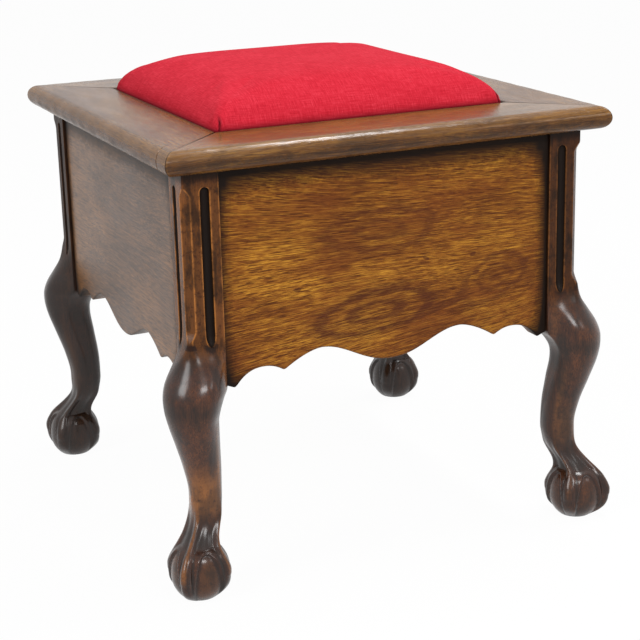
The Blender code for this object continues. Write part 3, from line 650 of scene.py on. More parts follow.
@dataclass(frozen=True)
class PolishedWood:
    """Stained and polished wood with short dark dashes, dirt and painted shade in its hollows, and worn
    edges.
    """

    name: str
    grain: Grain
    dark: Colour
    mid: Colour
    light: Colour
    worn: Colour
    # Tint of dirt and of painted shade
    grime_and_shade_tint: Colour = (0.0098, 0.0049, 0.0029)
    # Shares of the grain's layers in its tone
    dashes: float = 0.42
    bands: float = 0.33
    clouds: float = 0.25
    cloud_scale: float = 20.0
    waver: float = 0.03
    ruddy: float = 0.42
    pore_depth: float = 0.85
    # Blotches, wear, and dirt with painted shade
    mottle: float = 0.35
    mottle_low: float = 0.1
    mottle_scale: float = 45.0
    mottle_from: float = 200 * MM
    mottle_full: float = 245 * MM
    rub_kept: float = 0.30
    rub_broken: float = 0.25
    soil_and_shade_break: float = 0.18
    # Gloss
    roughness: float = 0.30
    grime_and_shade_dullness: float = 0.25
    level: float = 0.25
    coated: bool = False
    coat_roughness: float = 0.20
    # Figure and relief
    figured: bool = False
    tones: tuple[float, float, float] = (0.12, 0.5, 0.88)
    speckled: tuple[float, float] = (0.30, 0.70)
    soil_and_shade_shown: tuple[float, float] = (0.05, 0.60)
    level_grain: float = 0.29
    fanning: float = 1.3
    relief: float = 0.08 * MM

    def material(self) -> bpy.types.Material:
        """Wire the finish.

        Returns:
            The material.
        """
        material, graph = new_finish(self.name)
        place = graph.node("TexCoord", {}, "Object")
        height = graph.split(place)["Z"]
        along = graph.node("Mapping", {"Vector": place, "Rotation": self.grain.value})
        bent = graph.bend(along, graph.noise(along, DRIFT), self.waver)
        if self.figured:
            rise = graph.minus(height, self.level_grain)
            fan = graph.times(graph.times(graph.split(place)["X"], rise), self.fanning)
            fan = graph.node("CombineXYZ", {"Z": fan})
            bent = graph.node("VectorMath", {0: bent, 1: fan}, operation="ADD")
        dash, cloudy = graph.noise(bent, DASH), replace(CLOUD, scale=self.cloud_scale)
        tone = graph.times(graph.shown(dash, DASH), self.dashes)
        tone = graph.weigh(graph.shown(graph.noise(bent, BAND), BAND), self.bands, tone)
        tone = graph.weigh(graph.shown(graph.noise(bent, cloudy), cloudy), self.clouds, tone)
        colour = graph.ramp(tone, *zip(self.tones, (self.dark, self.mid, self.light)))
        if self.figured:
            ruddy = graph.shown(graph.noise(bent, ZONE), ZONE, 0.0, self.ruddy)
            colour = graph.mix(ruddy, colour, RUDDY_TINT)
            colour = graph.mix(self.figure(graph, place, dash), colour, FIGURE_TINT)
        pored = graph.shown(graph.noise(bent, PORES), PORES)
        colour = graph.mix(graph.times(pored, self.pore_depth), colour, self.dark)
        blotch = graph.noise(along, replace(BLOTCH, scale=self.mottle_scale))
        mottle = graph.rise(height, self.mottle_from, self.mottle_full, self.mottle_low, self.mottle)
        dirty = graph.times(graph.shown(blotch, BLOTCH), mottle)
        colour = graph.mix(dirty, colour, self.grime_and_shade_tint)
        speckle = graph.noise(place, SPECKLE)
        rubbed = graph.times(graph.field("wear"), graph.shown(speckle, SPECKLE, self.rub_broken, 1.0))
        rubbed = graph.times(rubbed, graph.rise(dirty, 0.0, 1.0, 1.0, self.rub_kept))
        colour = graph.mix(rubbed, colour, self.worn)
        # The points' darkening field holds dirt and painted shade, broken up by speckles
        broken = graph.rise(speckle, *self.speckled, self.soil_and_shade_break, -self.soil_and_shade_break)
        soil_and_shade = graph.math("ADD", graph.field("grime"), broken)
        grime = graph.times(graph.field("grime"), graph.rise(soil_and_shade, *self.soil_and_shade_shown))
        colour = graph.mix(grime, colour, self.grime_and_shade_tint)
        matt = graph.rise(blotch, *self.speckled, self.roughness - 0.02, self.roughness + 0.03)
        dull = graph.weigh(grime, self.grime_and_shade_dullness, matt)
        graph.set(Base_Color=colour, Roughness=dull, Specular_IOR_Level=self.level)
        if self.coated:
            graph.set(Coat_Weight=graph.field("polish"), Coat_Roughness=self.coat_roughness)
        graph.bump(graph.minus(graph.times(dash, 0.4), pored), self.relief, 0.5)
        return material

    def figure(self, graph: Graph, place: Socket, dash: Socket) -> Socket:
        """Draw the dark tongues of a flat-sawn board, its small knots and flecks.

        Args:
            graph: the finish being wired.
            place: where the surface is.
            dash: the wood's short dashes, which break the tongues up.

        Returns:
            How dark the figure is, from 0 to 1.
        """
        parts = graph.split(place)
        wander = graph.noise(graph.scaled(place, (0.4, 0.4, 1.0)), WANDER)
        total = 0.0
        for oval in FIGURE_SPOTS:
            along = graph.minus(parts["X"], oval.x)
            high = graph.minus(graph.minus(parts["Z"], oval.z), graph.times(along, oval.slope))
            along, high = graph.math("DIVIDE", along, oval.length), graph.math("DIVIDE", high, oval.height)
            reach = graph.math("SQRT", graph.weigh(along, along, graph.times(high, high)))
            far = graph.minus(graph.weigh(wander, oval.waver, reach), 1.0 + oval.waver / 2)
            wave = graph.math("COSINE", graph.times(far, oval.rings))
            fade = graph.rise(far, oval.edge, oval.edge + 0.3, oval.depth, 0.0)
            shade = graph.times(graph.rise(wave, -0.3, 0.9, oval.base, 1.0), fade)
            total = graph.math("MAXIMUM", total, shade)
        return graph.times(total, graph.rise(dash, 0.36, 0.62, 1.0, 0.62))


@dataclass(frozen=True)
class BareWood:
    """Unpolished inside wood with growth lines and faint stains."""

    name: str
    grain: Grain
    dark: Colour
    light: Colour
    lines: float = 150.0
    warp: Layer = Layer(7.0)
    growth: Layer = Layer(150.0, stretch=0.03)
    fibre: Layer = Layer(1500.0, stretch=0.05, low=0.3, high=0.7)
    darkening: Layer = Layer(14.0, 4.0, 0.6, low=0.48, high=0.70)

    def material(self) -> bpy.types.Material:
        """Wire the finish.

        Returns:
            The material.
        """
        material, graph = new_finish(self.name)
        place = graph.node("TexCoord", {}, "Object")
        along = graph.node("Mapping", {"Vector": place, "Rotation": self.grain.value})
        bent = graph.bend(along, graph.noise(along, self.warp), 0.06)
        growth = graph.noise(bent, replace(self.growth, scale=self.lines))
        fibre = graph.noise(bent, self.fibre)
        tone = graph.weigh(fibre, 0.35, graph.times(growth, 0.65))
        colour = graph.ramp(graph.rise(tone, 0.36, 0.62), (0.0, self.dark), (1.0, self.light))
        darkening = graph.shown(graph.noise(place, self.darkening), self.darkening, 0.0, 0.45)
        rough = graph.shown(fibre, self.fibre, 0.5, 0.7)
        graph.set(Base_Color=graph.mix(darkening, colour, self.dark), Roughness=rough, Specular_IOR_Level=0.3)
        graph.bump(fibre, 0.15 * MM, 0.5)
        return material


@dataclass(frozen=True)
class WovenCloth:
    """Plain weave of slubby yarn, laid out in the piece's own map."""

    name: str
    yarn: Colour
    deep: Colour
    pale: Colour
    # Tint of painted shade in the tucks and at the pad's foot
    soil_and_shade: Colour = (0.049, 0.0029, 0.0059)
    pitch: float = 0.75 * MM
    slub: Layer = Layer(1300.0, 2.0, 0.6)
    slub_stretch: float = 0.05
    cloud: Layer = Layer(22.0, 3.0)
    lint_scale: float = 70.0

    def material(self) -> bpy.types.Material:
        """Wire the finish.

        Returns:
            The material.
        """
        material, graph = new_finish(self.name)
        spread = graph.node("UVMap", {}, uv_map="weave")
        parts = graph.split(spread)
        warp, weft = (graph.math("SINE", graph.times(parts[axis], 2 * pi / self.pitch)) for axis in "XY")
        across, down = (graph.noise(graph.scaled(spread, factors), self.slub)
                        for factors in ((1.0, self.slub_stretch, 1.0), (self.slub_stretch, 1.0, 1.0)))
        slubs = graph.times(graph.math("ADD", across, down), 0.5)
        tone = graph.weigh(graph.times(warp, weft), 0.07, slubs)
        tone = graph.weigh(graph.noise(spread, self.cloud), 0.16, tone)
        shown = graph.rise(tone, 0.32, 0.86)
        colour = graph.ramp(shown, (0.0, self.deep), (0.5, self.yarn), (1.0, self.pale))
        specks = graph.node("TexVoronoi", {"Vector": spread, "Scale": self.lint_scale})
        colour = graph.mix(graph.rise(specks, 0.035, 0.06, 0.5, 0.0), colour, self.pale)
        # Painted shade in the tucks and at the pad's foot
        colour = graph.mix(graph.field("grime"), colour, self.soil_and_shade)
        graph.set(Base_Color=colour, Roughness=0.95, Specular_IOR_Level=0.08)
        graph.set(Sheen_Weight=0.06, Sheen_Roughness=0.5, Sheen_Tint=(1.0, 0.30, 0.35, 1.0))
        graph.bump(tone, 0.35 * MM, 0.6)
        return material


@dataclass(frozen=True)
class AgedMetal:
    """Metal with a dull, patchy surface."""

    name: str
    bright: Colour
    dull: Colour
    roughness: float
    patch: Layer = Layer(180.0, 4.0, 0.6, low=0.40, high=0.68)
    fine: Layer = Layer(1400.0)

    def material(self) -> bpy.types.Material:
        """Wire the finish.

        Returns:
            The material.
        """
        material, graph = new_finish(self.name)
        place = graph.node("TexCoord", {}, "Object")
        patch = graph.noise(place, self.patch)
        colour = graph.mix(graph.shown(patch, self.patch), self.bright, self.dull)
        rough = graph.rise(patch, 0.3, 0.7, self.roughness - 0.08, self.roughness + 0.15)
        graph.set(Base_Color=colour, Roughness=rough, Metallic=1.0)
        graph.bump(graph.noise(place, self.fine), 0.05 * MM, 0.4)
        return material


LEG_WOOD = PolishedWood("leg_polish", Grain.ALONG_Z, (0.0269, 0.0082, 0.0040), (0.051, 0.0153, 0.0060),
                        (0.124, 0.039, 0.0118), (0.454, 0.168, 0.037), dashes=0.25, bands=0.30, clouds=0.45,
                        mottle=0.85, mottle_low=0.66, mottle_scale=60.0, roughness=0.26, level=0.13,
                        coated=True)
FRONT_VENEER = PolishedWood("front_veneer", Grain.ALONG_X, (0.084, 0.0217, 0.0049), (0.271, 0.089, 0.0118),
                            (0.610, 0.281, 0.0295), (0.394, 0.168, 0.049), dashes=0.42, bands=0.26,
                            clouds=0.32, cloud_scale=17.0, waver=0.02, mottle=0.08, mottle_scale=30.0,
                            roughness=0.28, level=0.10, figured=True)
SIDE_VENEER = PolishedWood("side_veneer", Grain.ALONG_Y, (0.040, 0.0160, 0.0065), (0.155, 0.071, 0.0260),
                           (0.270, 0.119, 0.036), (0.394, 0.168, 0.049), dashes=0.42, bands=0.26, clouds=0.55,
                           cloud_scale=12.0, mottle=0.16, mottle_scale=30.0, roughness=0.30, level=0.28)
VENEER = {Grain.ALONG_X: FRONT_VENEER, Grain.ALONG_Y: SIDE_VENEER}
LID_WOOD = {
    grain: PolishedWood(f"lid_polish_{grain.name.lower()}", grain, (0.057, 0.0207, 0.0059),
                        (0.128, 0.049, 0.0108), (0.246, 0.113, 0.0197), (0.399, 0.206, 0.064),
                        dashes=0.34, bands=0.30, clouds=0.36,
                        mottle=mottle, mottle_scale=52.0, waver=0.02, roughness=rough, level=level)
    for grain, mottle, rough, level in ((Grain.ALONG_X, 0.42, 0.19, 0.24), (Grain.ALONG_Y, 0.12, 0.24, 0.19))
}
DEAL = {
    grain: BareWood(f"deal_{grain.name.lower()}", grain, (0.197, 0.104, 0.045), (0.394, 0.241, 0.113))
    for grain in Grain
}
PLYWOOD = BareWood("plywood_face", Grain.ALONG_X, (0.335, 0.217, 0.108), (0.541, 0.394, 0.217), 60.0)
RED_CLOTH = WovenCloth("crimson_weave", (0.581, 0.0177, 0.036), (0.414, 0.0089, 0.0197),
                       (0.729, 0.055, 0.084))
BRASS = AgedMetal("aged_brass", (0.60, 0.40, 0.14), (0.22, 0.13, 0.05), 0.36)
STEEL = AgedMetal("dull_steel", (0.42, 0.41, 0.39), (0.17, 0.13, 0.10), 0.42)


@dataclass(frozen=True)
class LegStation:
    """Section of a leg at a height, with offsets from the post's faces and its corner radii.

    The front swells from an arris beside the panel to a crest near the outer corner.
    """

    height: float
    outward: float
    outer_radius: float
    arris_out: float
    arris_in: float
    arris_radius: float
    inward: float
    inner_radius: float


@dataclass
class Legs:
    """Four cabriole legs with fluted posts and claw-and-ball feet."""

    stations: tuple[LegStation, ...] = tuple(LegStation(*(v * MM for v in row)) for row in (
        (54, 11.0, 13.5, 11.0, 12.5, 13.5, 11.0, 13.5),
        (74, 4.4, 12.0, 2.2, 11.0, 12.0, 8.0, 12.0),
        (93, 3.2, 12.5, 0.0, 11.0, 11.0, 5.8, 12.5),
        (118, 7.4, 16.0, 3.0, 12.2, 8.0, 6.4, 13.0),
        (143, 15.0, 20.0, 8.5, 14.5, 5.5, 9.0, 13.0),
        (165, 22.0, 25.0, 12.0, 15.5, 4.5, 10.8, 16.0),
        (177, 24.6, 28.0, 11.0, 12.0, 3.5, 9.6, 17.0),
        (187, 25.2, 29.5, 6.5, 6.0, 2.6, 5.2, 15.0),
        (195, 24.0, 30.0, 1.6, 0.4, 1.8, 0.2, 10.0),
        (203, 21.0, 29.0, 0.8, 0.0, 1.5, 0.0, 5.0),
        (213, 14.8, 24.0, 0.5, 0.0, 1.3, 0.0, 2.0),
        (225, 6.6, 14.0, 0.2, 0.0, 1.2, 0.0, 1.2),
        (237, 1.8, 5.0, 0.0, 0.0, 1.2, 0.0, 1.2),
        (250, 0.0, 1.2, 0.0, 0.0, 1.2, 0.0, 1.2),
    ))
    # Outline of a section
    splay: float = 1.4
    corner_steps: int = 14
    front_steps: int = 18
    back_steps: int = 10
    trace_steps: int = 260
    arris_overlap: float = 0.01 * MM
    least_run: float = 0.1 * MM
    arris_spread: float = 0.4
    arris_blend: float = 2.5
    arris_reach: float = 1.6
    # Flute and chamfer of the post
    flute_radius: float = 4.6 * MM
    flute_from_arris: float = 20.5 * MM
    flute_proud: float = 0.3 * MM
    flute_below_rim: float = 14 * MM
    flute_bottom: float = 234 * MM
    flute_tongue: float = 12 * MM
    chamfer: float = 7 * MM
    chamfer_least: float = 1.5 * MM
    chamfer_runout: float = 11 * MM
    lower_runout: float = 15 * MM
    chamfer_below_rim: float = 12 * MM
    chamfer_bottom: float = 236 * MM
    # Knee, ankle and foot
    knee_top: float = 207 * MM
    knee_bottom: float = 176 * MM
    foot_blend: float = 62 * MM
    ankle: float = 92 * MM
    ball_radius: float = 26 * MM
    ball_height: float = 20 * MM
    ball_low: float = 25.5 * MM
    ball_high: float = 31 * MM
    arch_top: float = 45.5 * MM
    arch_power: float = 3.6
    arch_half_angle: float = radians(33)
    web_thickness: float = 3.0 * MM
    web_root: float = 12 * MM
    web_edge: float = 1.2 * MM
    web: Curve = Curve((0, 6, 14, 22, 30, 38, 46, 56, 66, 74, 84, 92),
                       (13, 20, 25.6, 28, 27, 23, 17.5, 13.4, 12.6, 12.8, 14, 15))
    claw: Curve = Curve((0, 4, 9, 15, 22.4, 23.6, 28, 34, 41, 48, 56, 66, 74, 84, 92),
                        (13.5, 20.5, 26, 29.4, 31, 31.4, 31.6, 29.8, 26, 22, 18.6, 16.9, 16.6, 16.6, 16.4))
    claw_width: Curve = Curve((0, 10, 22, 24, 30, 38, 50, 62, 74, 92),
                              (5.0, 5.8, 6.4, 6.8, 6.8, 6.0, 5.0, 4.4, 4.6, 5.5))
    outer_claw: Curve = Curve((0, 33, 74, 92), (3.5, 3.5, 0, 0))
    foot_centre: Curve = Curve((0, 42, 74, 92), (18.6, 18.6, 6.2, 4.5))
    claw_softening: Stretch = Stretch(1.0, 34, 60)
    claw_crispness: float = 0.75
    claw_softness: float = 1.3
    # Columns and rings of points, with the rings in millimetres
    groove_columns: tuple[int, ...] = (0, 6, 10, 14, 18)
    corner_columns: int = 10
    plain_columns: int = 10
    flute_columns: int = 20
    side_columns: int = 14
    inner_columns: int = 24
    back_columns: int = 8
    plain_rings: tuple[tuple[float, float, int], ...] = (
        (0, 59.2, 75), (60, 80, 11), (80, 168, 32), (170, 208.98, 27), (209, 233, 9), (256, 364, 12),
        (387, 390, 2), (392.7, 392.7, 1))
    # Wear and polish
    worn_width: float = 0.9 * MM
    # Wear on the chamfer's edge, partly a painted highlight
    chamfer_edge_rub_and_glint: float = 0.9
    chamfer_rubbed: float = 0.20
    edge_rub: Stretch = Stretch(0.9, 222, 245)
    post_rub: Stretch = Stretch(0.19, 214, 236)
    ankle_rub: Stretch = Stretch(0.50, 62, 80, 95, 135)
    front_part: tuple[float, float] = (0.35, 0.6)
    shin_rub: Stretch = Stretch(0.5, 76, 100, 125, 180)
    shin_width: float = 3.4 * MM
    flank_rub: Stretch = Stretch(0.30, 184, 200, 224, 240)
    flank_from_side: float = 6 * MM
    flank_width: float = 5 * MM
    crest_reach: Stretch = Stretch(1.0, 12, 30, 70, 96)
    crest_from: float = 0.72
    crest_rubbed: float = 0.34
    ball_rubbed: float = 0.10
    ball_rub_below: tuple[float, float] = (2 * MM, 7 * MM)
    other_legs_rubbed: float = 0.42
    polish: Stretch = Stretch(0.55, -2, -1, 208, 238)
    # Dirt and painted shade
    # Painted dark reflection in a band under the knee, and painted shade on the inner face below it
    under_knee: Smudge = Smudge(0.62, 181, 12)
    inner_shade: Smudge = Smudge(0.75, 168, 20)
    flute_smudge: Smudge = Smudge(0.75, 234, 5)
    flute_smudge_width: float = 7 * MM
    corner_smudge: Smudge = Smudge(0.6, 238, 5)
    corner_smudge_reach: float = 2 * MM
    soil_and_shade: float = 0.3
    # Painted shade under the lid and in the gap beside the panel
    lid_shade: Stretch = Stretch(0.85, 376.7, 390.7)
    panel_dirt: float = 0.8
    panel_dirt_columns: int = 6
    # Painted shade of the foot: in the crevice round the ball, beside the claws, near the floor, in the
    # valleys and in the web's hollow
    crevice: Shade = Shade(0.95, 2.6)
    claw_shade: float = 0.95
    claw_shade_fade: float = 0.22
    floor_dirt: Stretch = Stretch(0.7, -2, -1, 0, 9)
    valley: Stretch = Stretch(0.85, -2, -1, 40, 64)
    valley_place: float = 1.2
    valley_width: float = 0.3
    hollow: Smudge = Smudge(0.85, 56, 11)
    # Painted shade, none on the front left leg and most on the back ones
    leg_shade: dict[Corner, float] = field(default_factory=lambda: {
        Corner.FRONT_LEFT: 0.0, Corner.FRONT_RIGHT: 0.36, Corner.BACK_LEFT: 0.75, Corner.BACK_RIGHT: 0.75})

    @property
    def columns(self) -> int:
        """Return how many columns of points run round half of a leg."""
        return (self.corner_columns + 2 * self.plain_columns + self.flute_columns + self.side_columns
                + self.inner_columns + self.back_columns)

    def station(self, z: float) -> LegStation:
        """Return the leg's section at a height."""
        rows = np.array([[getattr(s, name) for name in s.__dataclass_fields__] for s in self.stations]).T
        return LegStation(*(smooth_curve(rows[0], row, z) for row in rows))

    def chamfer_at(self, z: float) -> float:
        """Read how far the outer arris is cut back.

        Args:
            z: the height.

        Returns:
            The cut along each face.
        """
        low, high = self.chamfer_bottom, PLAN.rim - self.chamfer_below_rim
        places = [low, low + self.lower_runout, high - self.chamfer_runout, high]
        return smooth_curve(places, [0.0, self.chamfer, self.chamfer, 0.0], z)

    def flute_at(self, z: float) -> float:
        """Read the flute's radius.

        Args:
            z: the height.

        Returns:
            The radius, or 0 beyond the flute's ends.
        """
        top = PLAN.rim - self.flute_below_rim
        if not self.flute_bottom <= z <= top:
            return 0.0
        below = max(1 - (z - self.flute_bottom) / self.flute_tongue, 0.0)
        above = max(1 - (top - z) / self.flute_radius, 0.0)
        return self.flute_radius * sqrt(max(1 - max(below, above) ** 2, 0.0))

    def outline(self, z: float) -> tuple[np.ndarray, dict[str, float]]:
        """Trace half of the leg's section at a height, from its outer to its inner corner.

        Args:
            z: the height.

        Returns:
            Points, as distances out along both sides, and lengths along them to named marks.
        """
        at = self.station(z)
        outer, inner = PLAN.post_out + at.outward, PLAN.post_in + at.inward
        cut = self.chamfer_at(z)
        start = (cut ** 4 + at.outer_radius ** 4) ** 0.25
        flat = (cut / start) ** 4
        points = []
        for share in np.linspace(0.5, 0.0, self.corner_steps):
            p = (1 - flat) * (1 - cos(share * pi / 2)) + flat * share
            q = (1 - flat) * (1 - sin(share * pi / 2)) + flat * (1 - share)
            points.append((outer - start * p, outer - start * q))
        arris = (PLAN.post_out + at.arris_out, PLAN.post_in + at.arris_in)
        for t in np.linspace(0.0, 1.0, self.front_steps)[1:]:
            along = outer - start + (arris[1] - outer + start) * t
            points.append((outer - (outer - arris[0]) * t * t, along))
        corner_end, arris_end = self.corner_steps - 1, len(points) - 1
        points.append((arris[0] - self.splay * (arris[1] - inner) - self.arris_overlap, inner))
        turn = at.inner_radius
        points += [(inner + turn + turn * cos(a), inner + turn + turn * sin(a))
                   for a in np.linspace(-pi / 2, -3 * pi / 4, self.back_steps)]
        path = np.array(points)
        lengths = lengths_along(path)
        spread = self.arris_spread * at.arris_radius
        even = np.linspace(0.0, lengths[-1], self.trace_steps)
        fine = np.column_stack([np.interp(even, lengths, path[:, axis]) for axis in (0, 1)])
        near = np.exp(-0.5 * ((even[:, None] - even[None, :]) / spread) ** 2)
        soft = near @ fine / near.sum(axis=1, keepdims=True)
        first = lengths[arris_end] - self.arris_blend * spread
        last = lengths[arris_end + 1] + self.arris_blend * spread
        inside = ramp_up(even, first - spread, first) * (1 - ramp_up(even, last, last + spread))
        inside = inside * ramp_up(even, 0.0, spread) * (1 - ramp_up(even, even[-1] - spread, even[-1]))
        fine += inside[:, None] * (soft - fine)
        reach = self.arris_reach * spread
        marks = {
            "corner": lengths[corner_end],
            "flute": lengths[corner_end] + outer - start - (PLAN.post_out - self.flute_from_arris),
            "side": max(lengths[arris_end] - reach, lengths[corner_end] + self.least_run),
            "arris": lengths[arris_end],
            "inner": min(lengths[arris_end + 1] + reach, lengths[arris_end + 2] - self.least_run),
            "back": lengths[arris_end + 2],
            "end": lengths[-1],
        }
        return np.column_stack([fine, even]), marks

    def leg_half(self, z: float) -> HalfRing:
        """Make half of a leg's ring.

        Args:
            z: the height.

        Returns:
            Points as distances out along both sides, wear, and dirt with painted shade.
        """
        path, marks = self.outline(z)
        radius = self.flute_at(z)
        reach = sqrt(max(radius ** 2 - self.flute_proud ** 2, 0.0))
        wide = reach if radius else self.flute_radius
        eased = ease(np.linspace(0, 1, self.plain_columns + 1))
        across = np.sin(np.linspace(-pi / 2, pi / 2, self.flute_columns + 1))
        fitted = np.concatenate([
            np.linspace(0.0, marks["corner"], self.corner_columns + 1)[:-1],
            (marks["corner"] + (marks["flute"] - wide - marks["corner"]) * eased)[:-1],
            (marks["flute"] + wide * across)[:-1],
            (marks["flute"] + wide + (marks["side"] - marks["flute"] - wide) * eased)[:-1],
            np.linspace(marks["side"], marks["inner"], self.side_columns + 1)[:-1],
            np.linspace(marks["inner"], marks["back"], self.inner_columns + 1)[:-1],
            np.linspace(marks["back"], marks["end"], self.back_columns + 1),
        ])
        share = ramp_up(z, self.knee_bottom, self.knee_top)
        at = np.linspace(0.0, marks["end"], self.columns + 1) * (1 - share) + fitted * share
        ring = np.column_stack([np.interp(at, path[:, 2], path[:, axis]) for axis in (0, 1)])
        wear, grime = np.zeros(self.columns + 1), np.zeros(self.columns + 1)
        first = self.corner_columns + self.plain_columns
        last = first + self.flute_columns
        if radius:
            depth = np.sqrt(np.maximum(radius ** 2 - (reach * across) ** 2, 0.0)) - self.flute_proud
            ring[first:last + 1, 0] -= np.maximum(depth, 0.0)
            # Worn flute edges, partly a painted highlight along them
            wear = strongest(*(spot(at, marks["flute"] + edge, self.worn_width) for edge in (-wide, wide)))
            wear[first + 2:last - 1] = 0.0
            # Painted shade inside the flute
            grime[first + 2:last - 1] = 1.0
        if z >= PLAN.tongue_bottom:
            self.groove(ring, last + self.plain_columns + self.side_columns)
        wear, grime = self.patina(z, at, marks, wear, grime)
        # Painted shade on the side face in the gap beside the panel
        edge = last + self.plain_columns + self.side_columns // 2
        by_panel = ramp_up(np.arange(self.columns + 1), edge, edge + self.panel_dirt_columns)
        return ring, wear, np.maximum(grime, self.panel_dirt * share * by_panel)

    def patina(self, z: float, at: np.ndarray, marks: dict[str, float], wear: np.ndarray,
               grime: np.ndarray) -> tuple[np.ndarray, np.ndarray]:
        """Add the rubbed places, dirt and painted shade of a leg above its foot.

        Args:
            z: the height.
            at: lengths along the half ring to its points.
            marks: lengths along it to named marks.
            wear: wear of the flute.
            grime: painted shade inside the flute.

        Returns:
            All wear, and all dirt and painted shade.
        """
        if self.chamfer_at(z) > self.chamfer_least:
            # Worn chamfer edge, partly a painted highlight along it
            wear = strongest(wear, self.chamfer_edge_rub_and_glint * spot(at, marks["corner"], self.worn_width),
                             self.chamfer_rubbed * (at < marks["corner"]))
        turn = (marks["side"] + marks["inner"]) / 2
        flank = marks["side"] - self.flank_from_side
        front = 1 - ramp_up(at, *(share * marks["end"] for share in self.front_part))
        wear = strongest(wear,
                         self.edge_rub.at(z) * spot(at, turn, 1.4 * self.worn_width),
                         self.ankle_rub.at(z) * front,
                         self.shin_rub.at(z) * spot(at, marks["arris"], self.shin_width),
                         self.flank_rub.at(z) * spot(at, flank, self.flank_width))
        # Painted dark reflection under the knee and painted shade on the inner face, with smudges at the
        # flute's and chamfer's feet
        grime = strongest(grime,
                          self.under_knee.at(z),
                          self.inner_shade.at(z) * ramp_up(at, marks["arris"], marks["inner"]),
                          self.flute_smudge.at(z) * spot(at, marks["flute"], self.flute_smudge_width),
                          self.corner_smudge.at(z) * (at < marks["corner"] + self.corner_smudge_reach))
        wear = np.where(grime > self.soil_and_shade, wear, np.maximum(wear, self.post_rub.at(z)))
        # Painted shade under the lid
        shade = self.lid_shade.at(z)
        return wear * (1 - shade), np.maximum(grime, shade)

    def groove(self, ring: np.ndarray, first: int) -> None:
        """Sink the groove for a panel's tongue into the inner face of half a ring.

        Args:
            ring: the half ring, which is changed.
            first: the first column of the inner face.
        """
        last = first + self.inner_columns
        low, high = (PLAN.panel_middle + way * (PLAN.tongue_half + PLAN.fit) for way in (-1, 1))
        face, deep = ring[first, 1], PLAN.post_in + PLAN.tongue_length + PLAN.fit
        corners = np.array([ring[first], (high, face), (high, deep), (low, deep), (low, face), ring[last]])
        columns = (*self.groove_columns, self.inner_columns)
        at = np.interp(np.arange(self.inner_columns + 1), columns, np.arange(6))
        for axis in (0, 1):
            ring[first:last + 1, axis] = np.interp(at, np.arange(6), corners[:, axis])

    def ball_at(self, z: float) -> float:
        """Read the ball's radius.

        Args:
            z: the height.

        Returns:
            The radius, which is 0 above the ball.
        """
        if z < self.ball_height:
            return self.ball_radius * sqrt(max(1 - ((self.ball_height - z) / self.ball_low) ** 2, 0.0))
        return self.ball_radius * max(1 - ((z - self.ball_height) / self.ball_high) ** 2.5, 0.0) ** 0.4

    def foot_half(self, z: float) -> HalfRing:
        """Make half of a foot's ring.

        Args:
            z: the height.

        Returns:
            Points as distances out along both sides, wear, and painted shade.
        """
        turn = np.linspace(0.0, pi, self.columns + 1)
        ball = self.ball_at(z)
        nearest = np.round(turn / (pi / 2))
        off = np.abs(turn - nearest * pi / 2)
        reach = self.claw.at(z) + np.where(nearest == 0, self.outer_claw.at(z), 0.0)
        t = off * reach / self.claw_width.at(z)
        crisp = np.maximum(1 - np.clip(t, 0, 1) ** 2, 0.0) ** self.claw_crispness
        gentle = self.claw_softening.at(z)
        ridge = crisp * (1 - gentle) + np.exp(-self.claw_softness * t * t) * gentle
        aside = np.abs(off - pi / 4) / self.arch_half_angle
        arch = self.arch_top * (1 - aside ** self.arch_power)
        slope = self.arch_power * self.arch_top * aside ** (self.arch_power - 1)
        slope = slope / (self.arch_half_angle * self.ball_radius)
        above = (z - arch) / np.sqrt(1 + slope ** 2)
        covered = ramp_up(above, -self.web_edge, self.web_edge)
        web = np.maximum(self.web.at(z), ball + self.web_thickness * ramp_up(z, 0, self.web_root))
        skin = ball + (web - ball) * covered
        radius = skin + np.maximum(reach - skin, 0.0) * ridge
        centre = PLAN.post_middle + self.foot_centre.at(z)
        way = pi / 4 - turn
        ring = np.column_stack([centre + radius * np.cos(way), centre + radius * np.sin(way)])
        inside = 1 - covered
        crest = ramp_up(ridge, self.crest_from, 1.0) * self.crest_reach.at(z)
        wear = np.maximum(self.crest_rubbed * crest ** 2,
                          self.ball_rubbed * inside * ramp_up(-above, *self.ball_rub_below))
        # Painted shade in the crevice round the ball, beside the claws, near the floor, in the web's hollow
        # and in the valleys
        grime = strongest(inside * self.crevice.at(-above),
                          self.claw_shade * inside * np.exp(-np.maximum(t - 1, 0.0) / self.claw_shade_fade),
                          self.floor_dirt.at(z),
                          self.hollow.at(z) * covered * (1 - ridge),
                          self.valley.at(z) * spot(t, self.valley_place, self.valley_width))
        return ring, wear, grime

    def heights(self) -> np.ndarray:
        """Choose the heights of a leg's rings, close together where it is carved.

        Returns:
            The heights, from the floor up.
        """
        top = PLAN.rim - self.flute_below_rim
        high = PLAN.rim - self.chamfer_below_rim
        hair = 0.02 * MM
        quarter = np.linspace(0.0, pi / 2, 9)
        runs = [np.linspace(low * MM, end * MM, count) for low, end, count in self.plain_rings]
        runs += [
            [self.flute_bottom - hair, top + hair],
            self.flute_bottom + self.flute_tongue * (1 - np.cos(quarter)),
            top - self.flute_radius * (1 - np.sin(quarter)),
            np.linspace(self.chamfer_bottom, self.chamfer_bottom + self.lower_runout, 11),
            np.linspace(high - self.chamfer_runout, high, 8),
        ]
        return np.unique(np.round(np.concatenate(runs), 7))

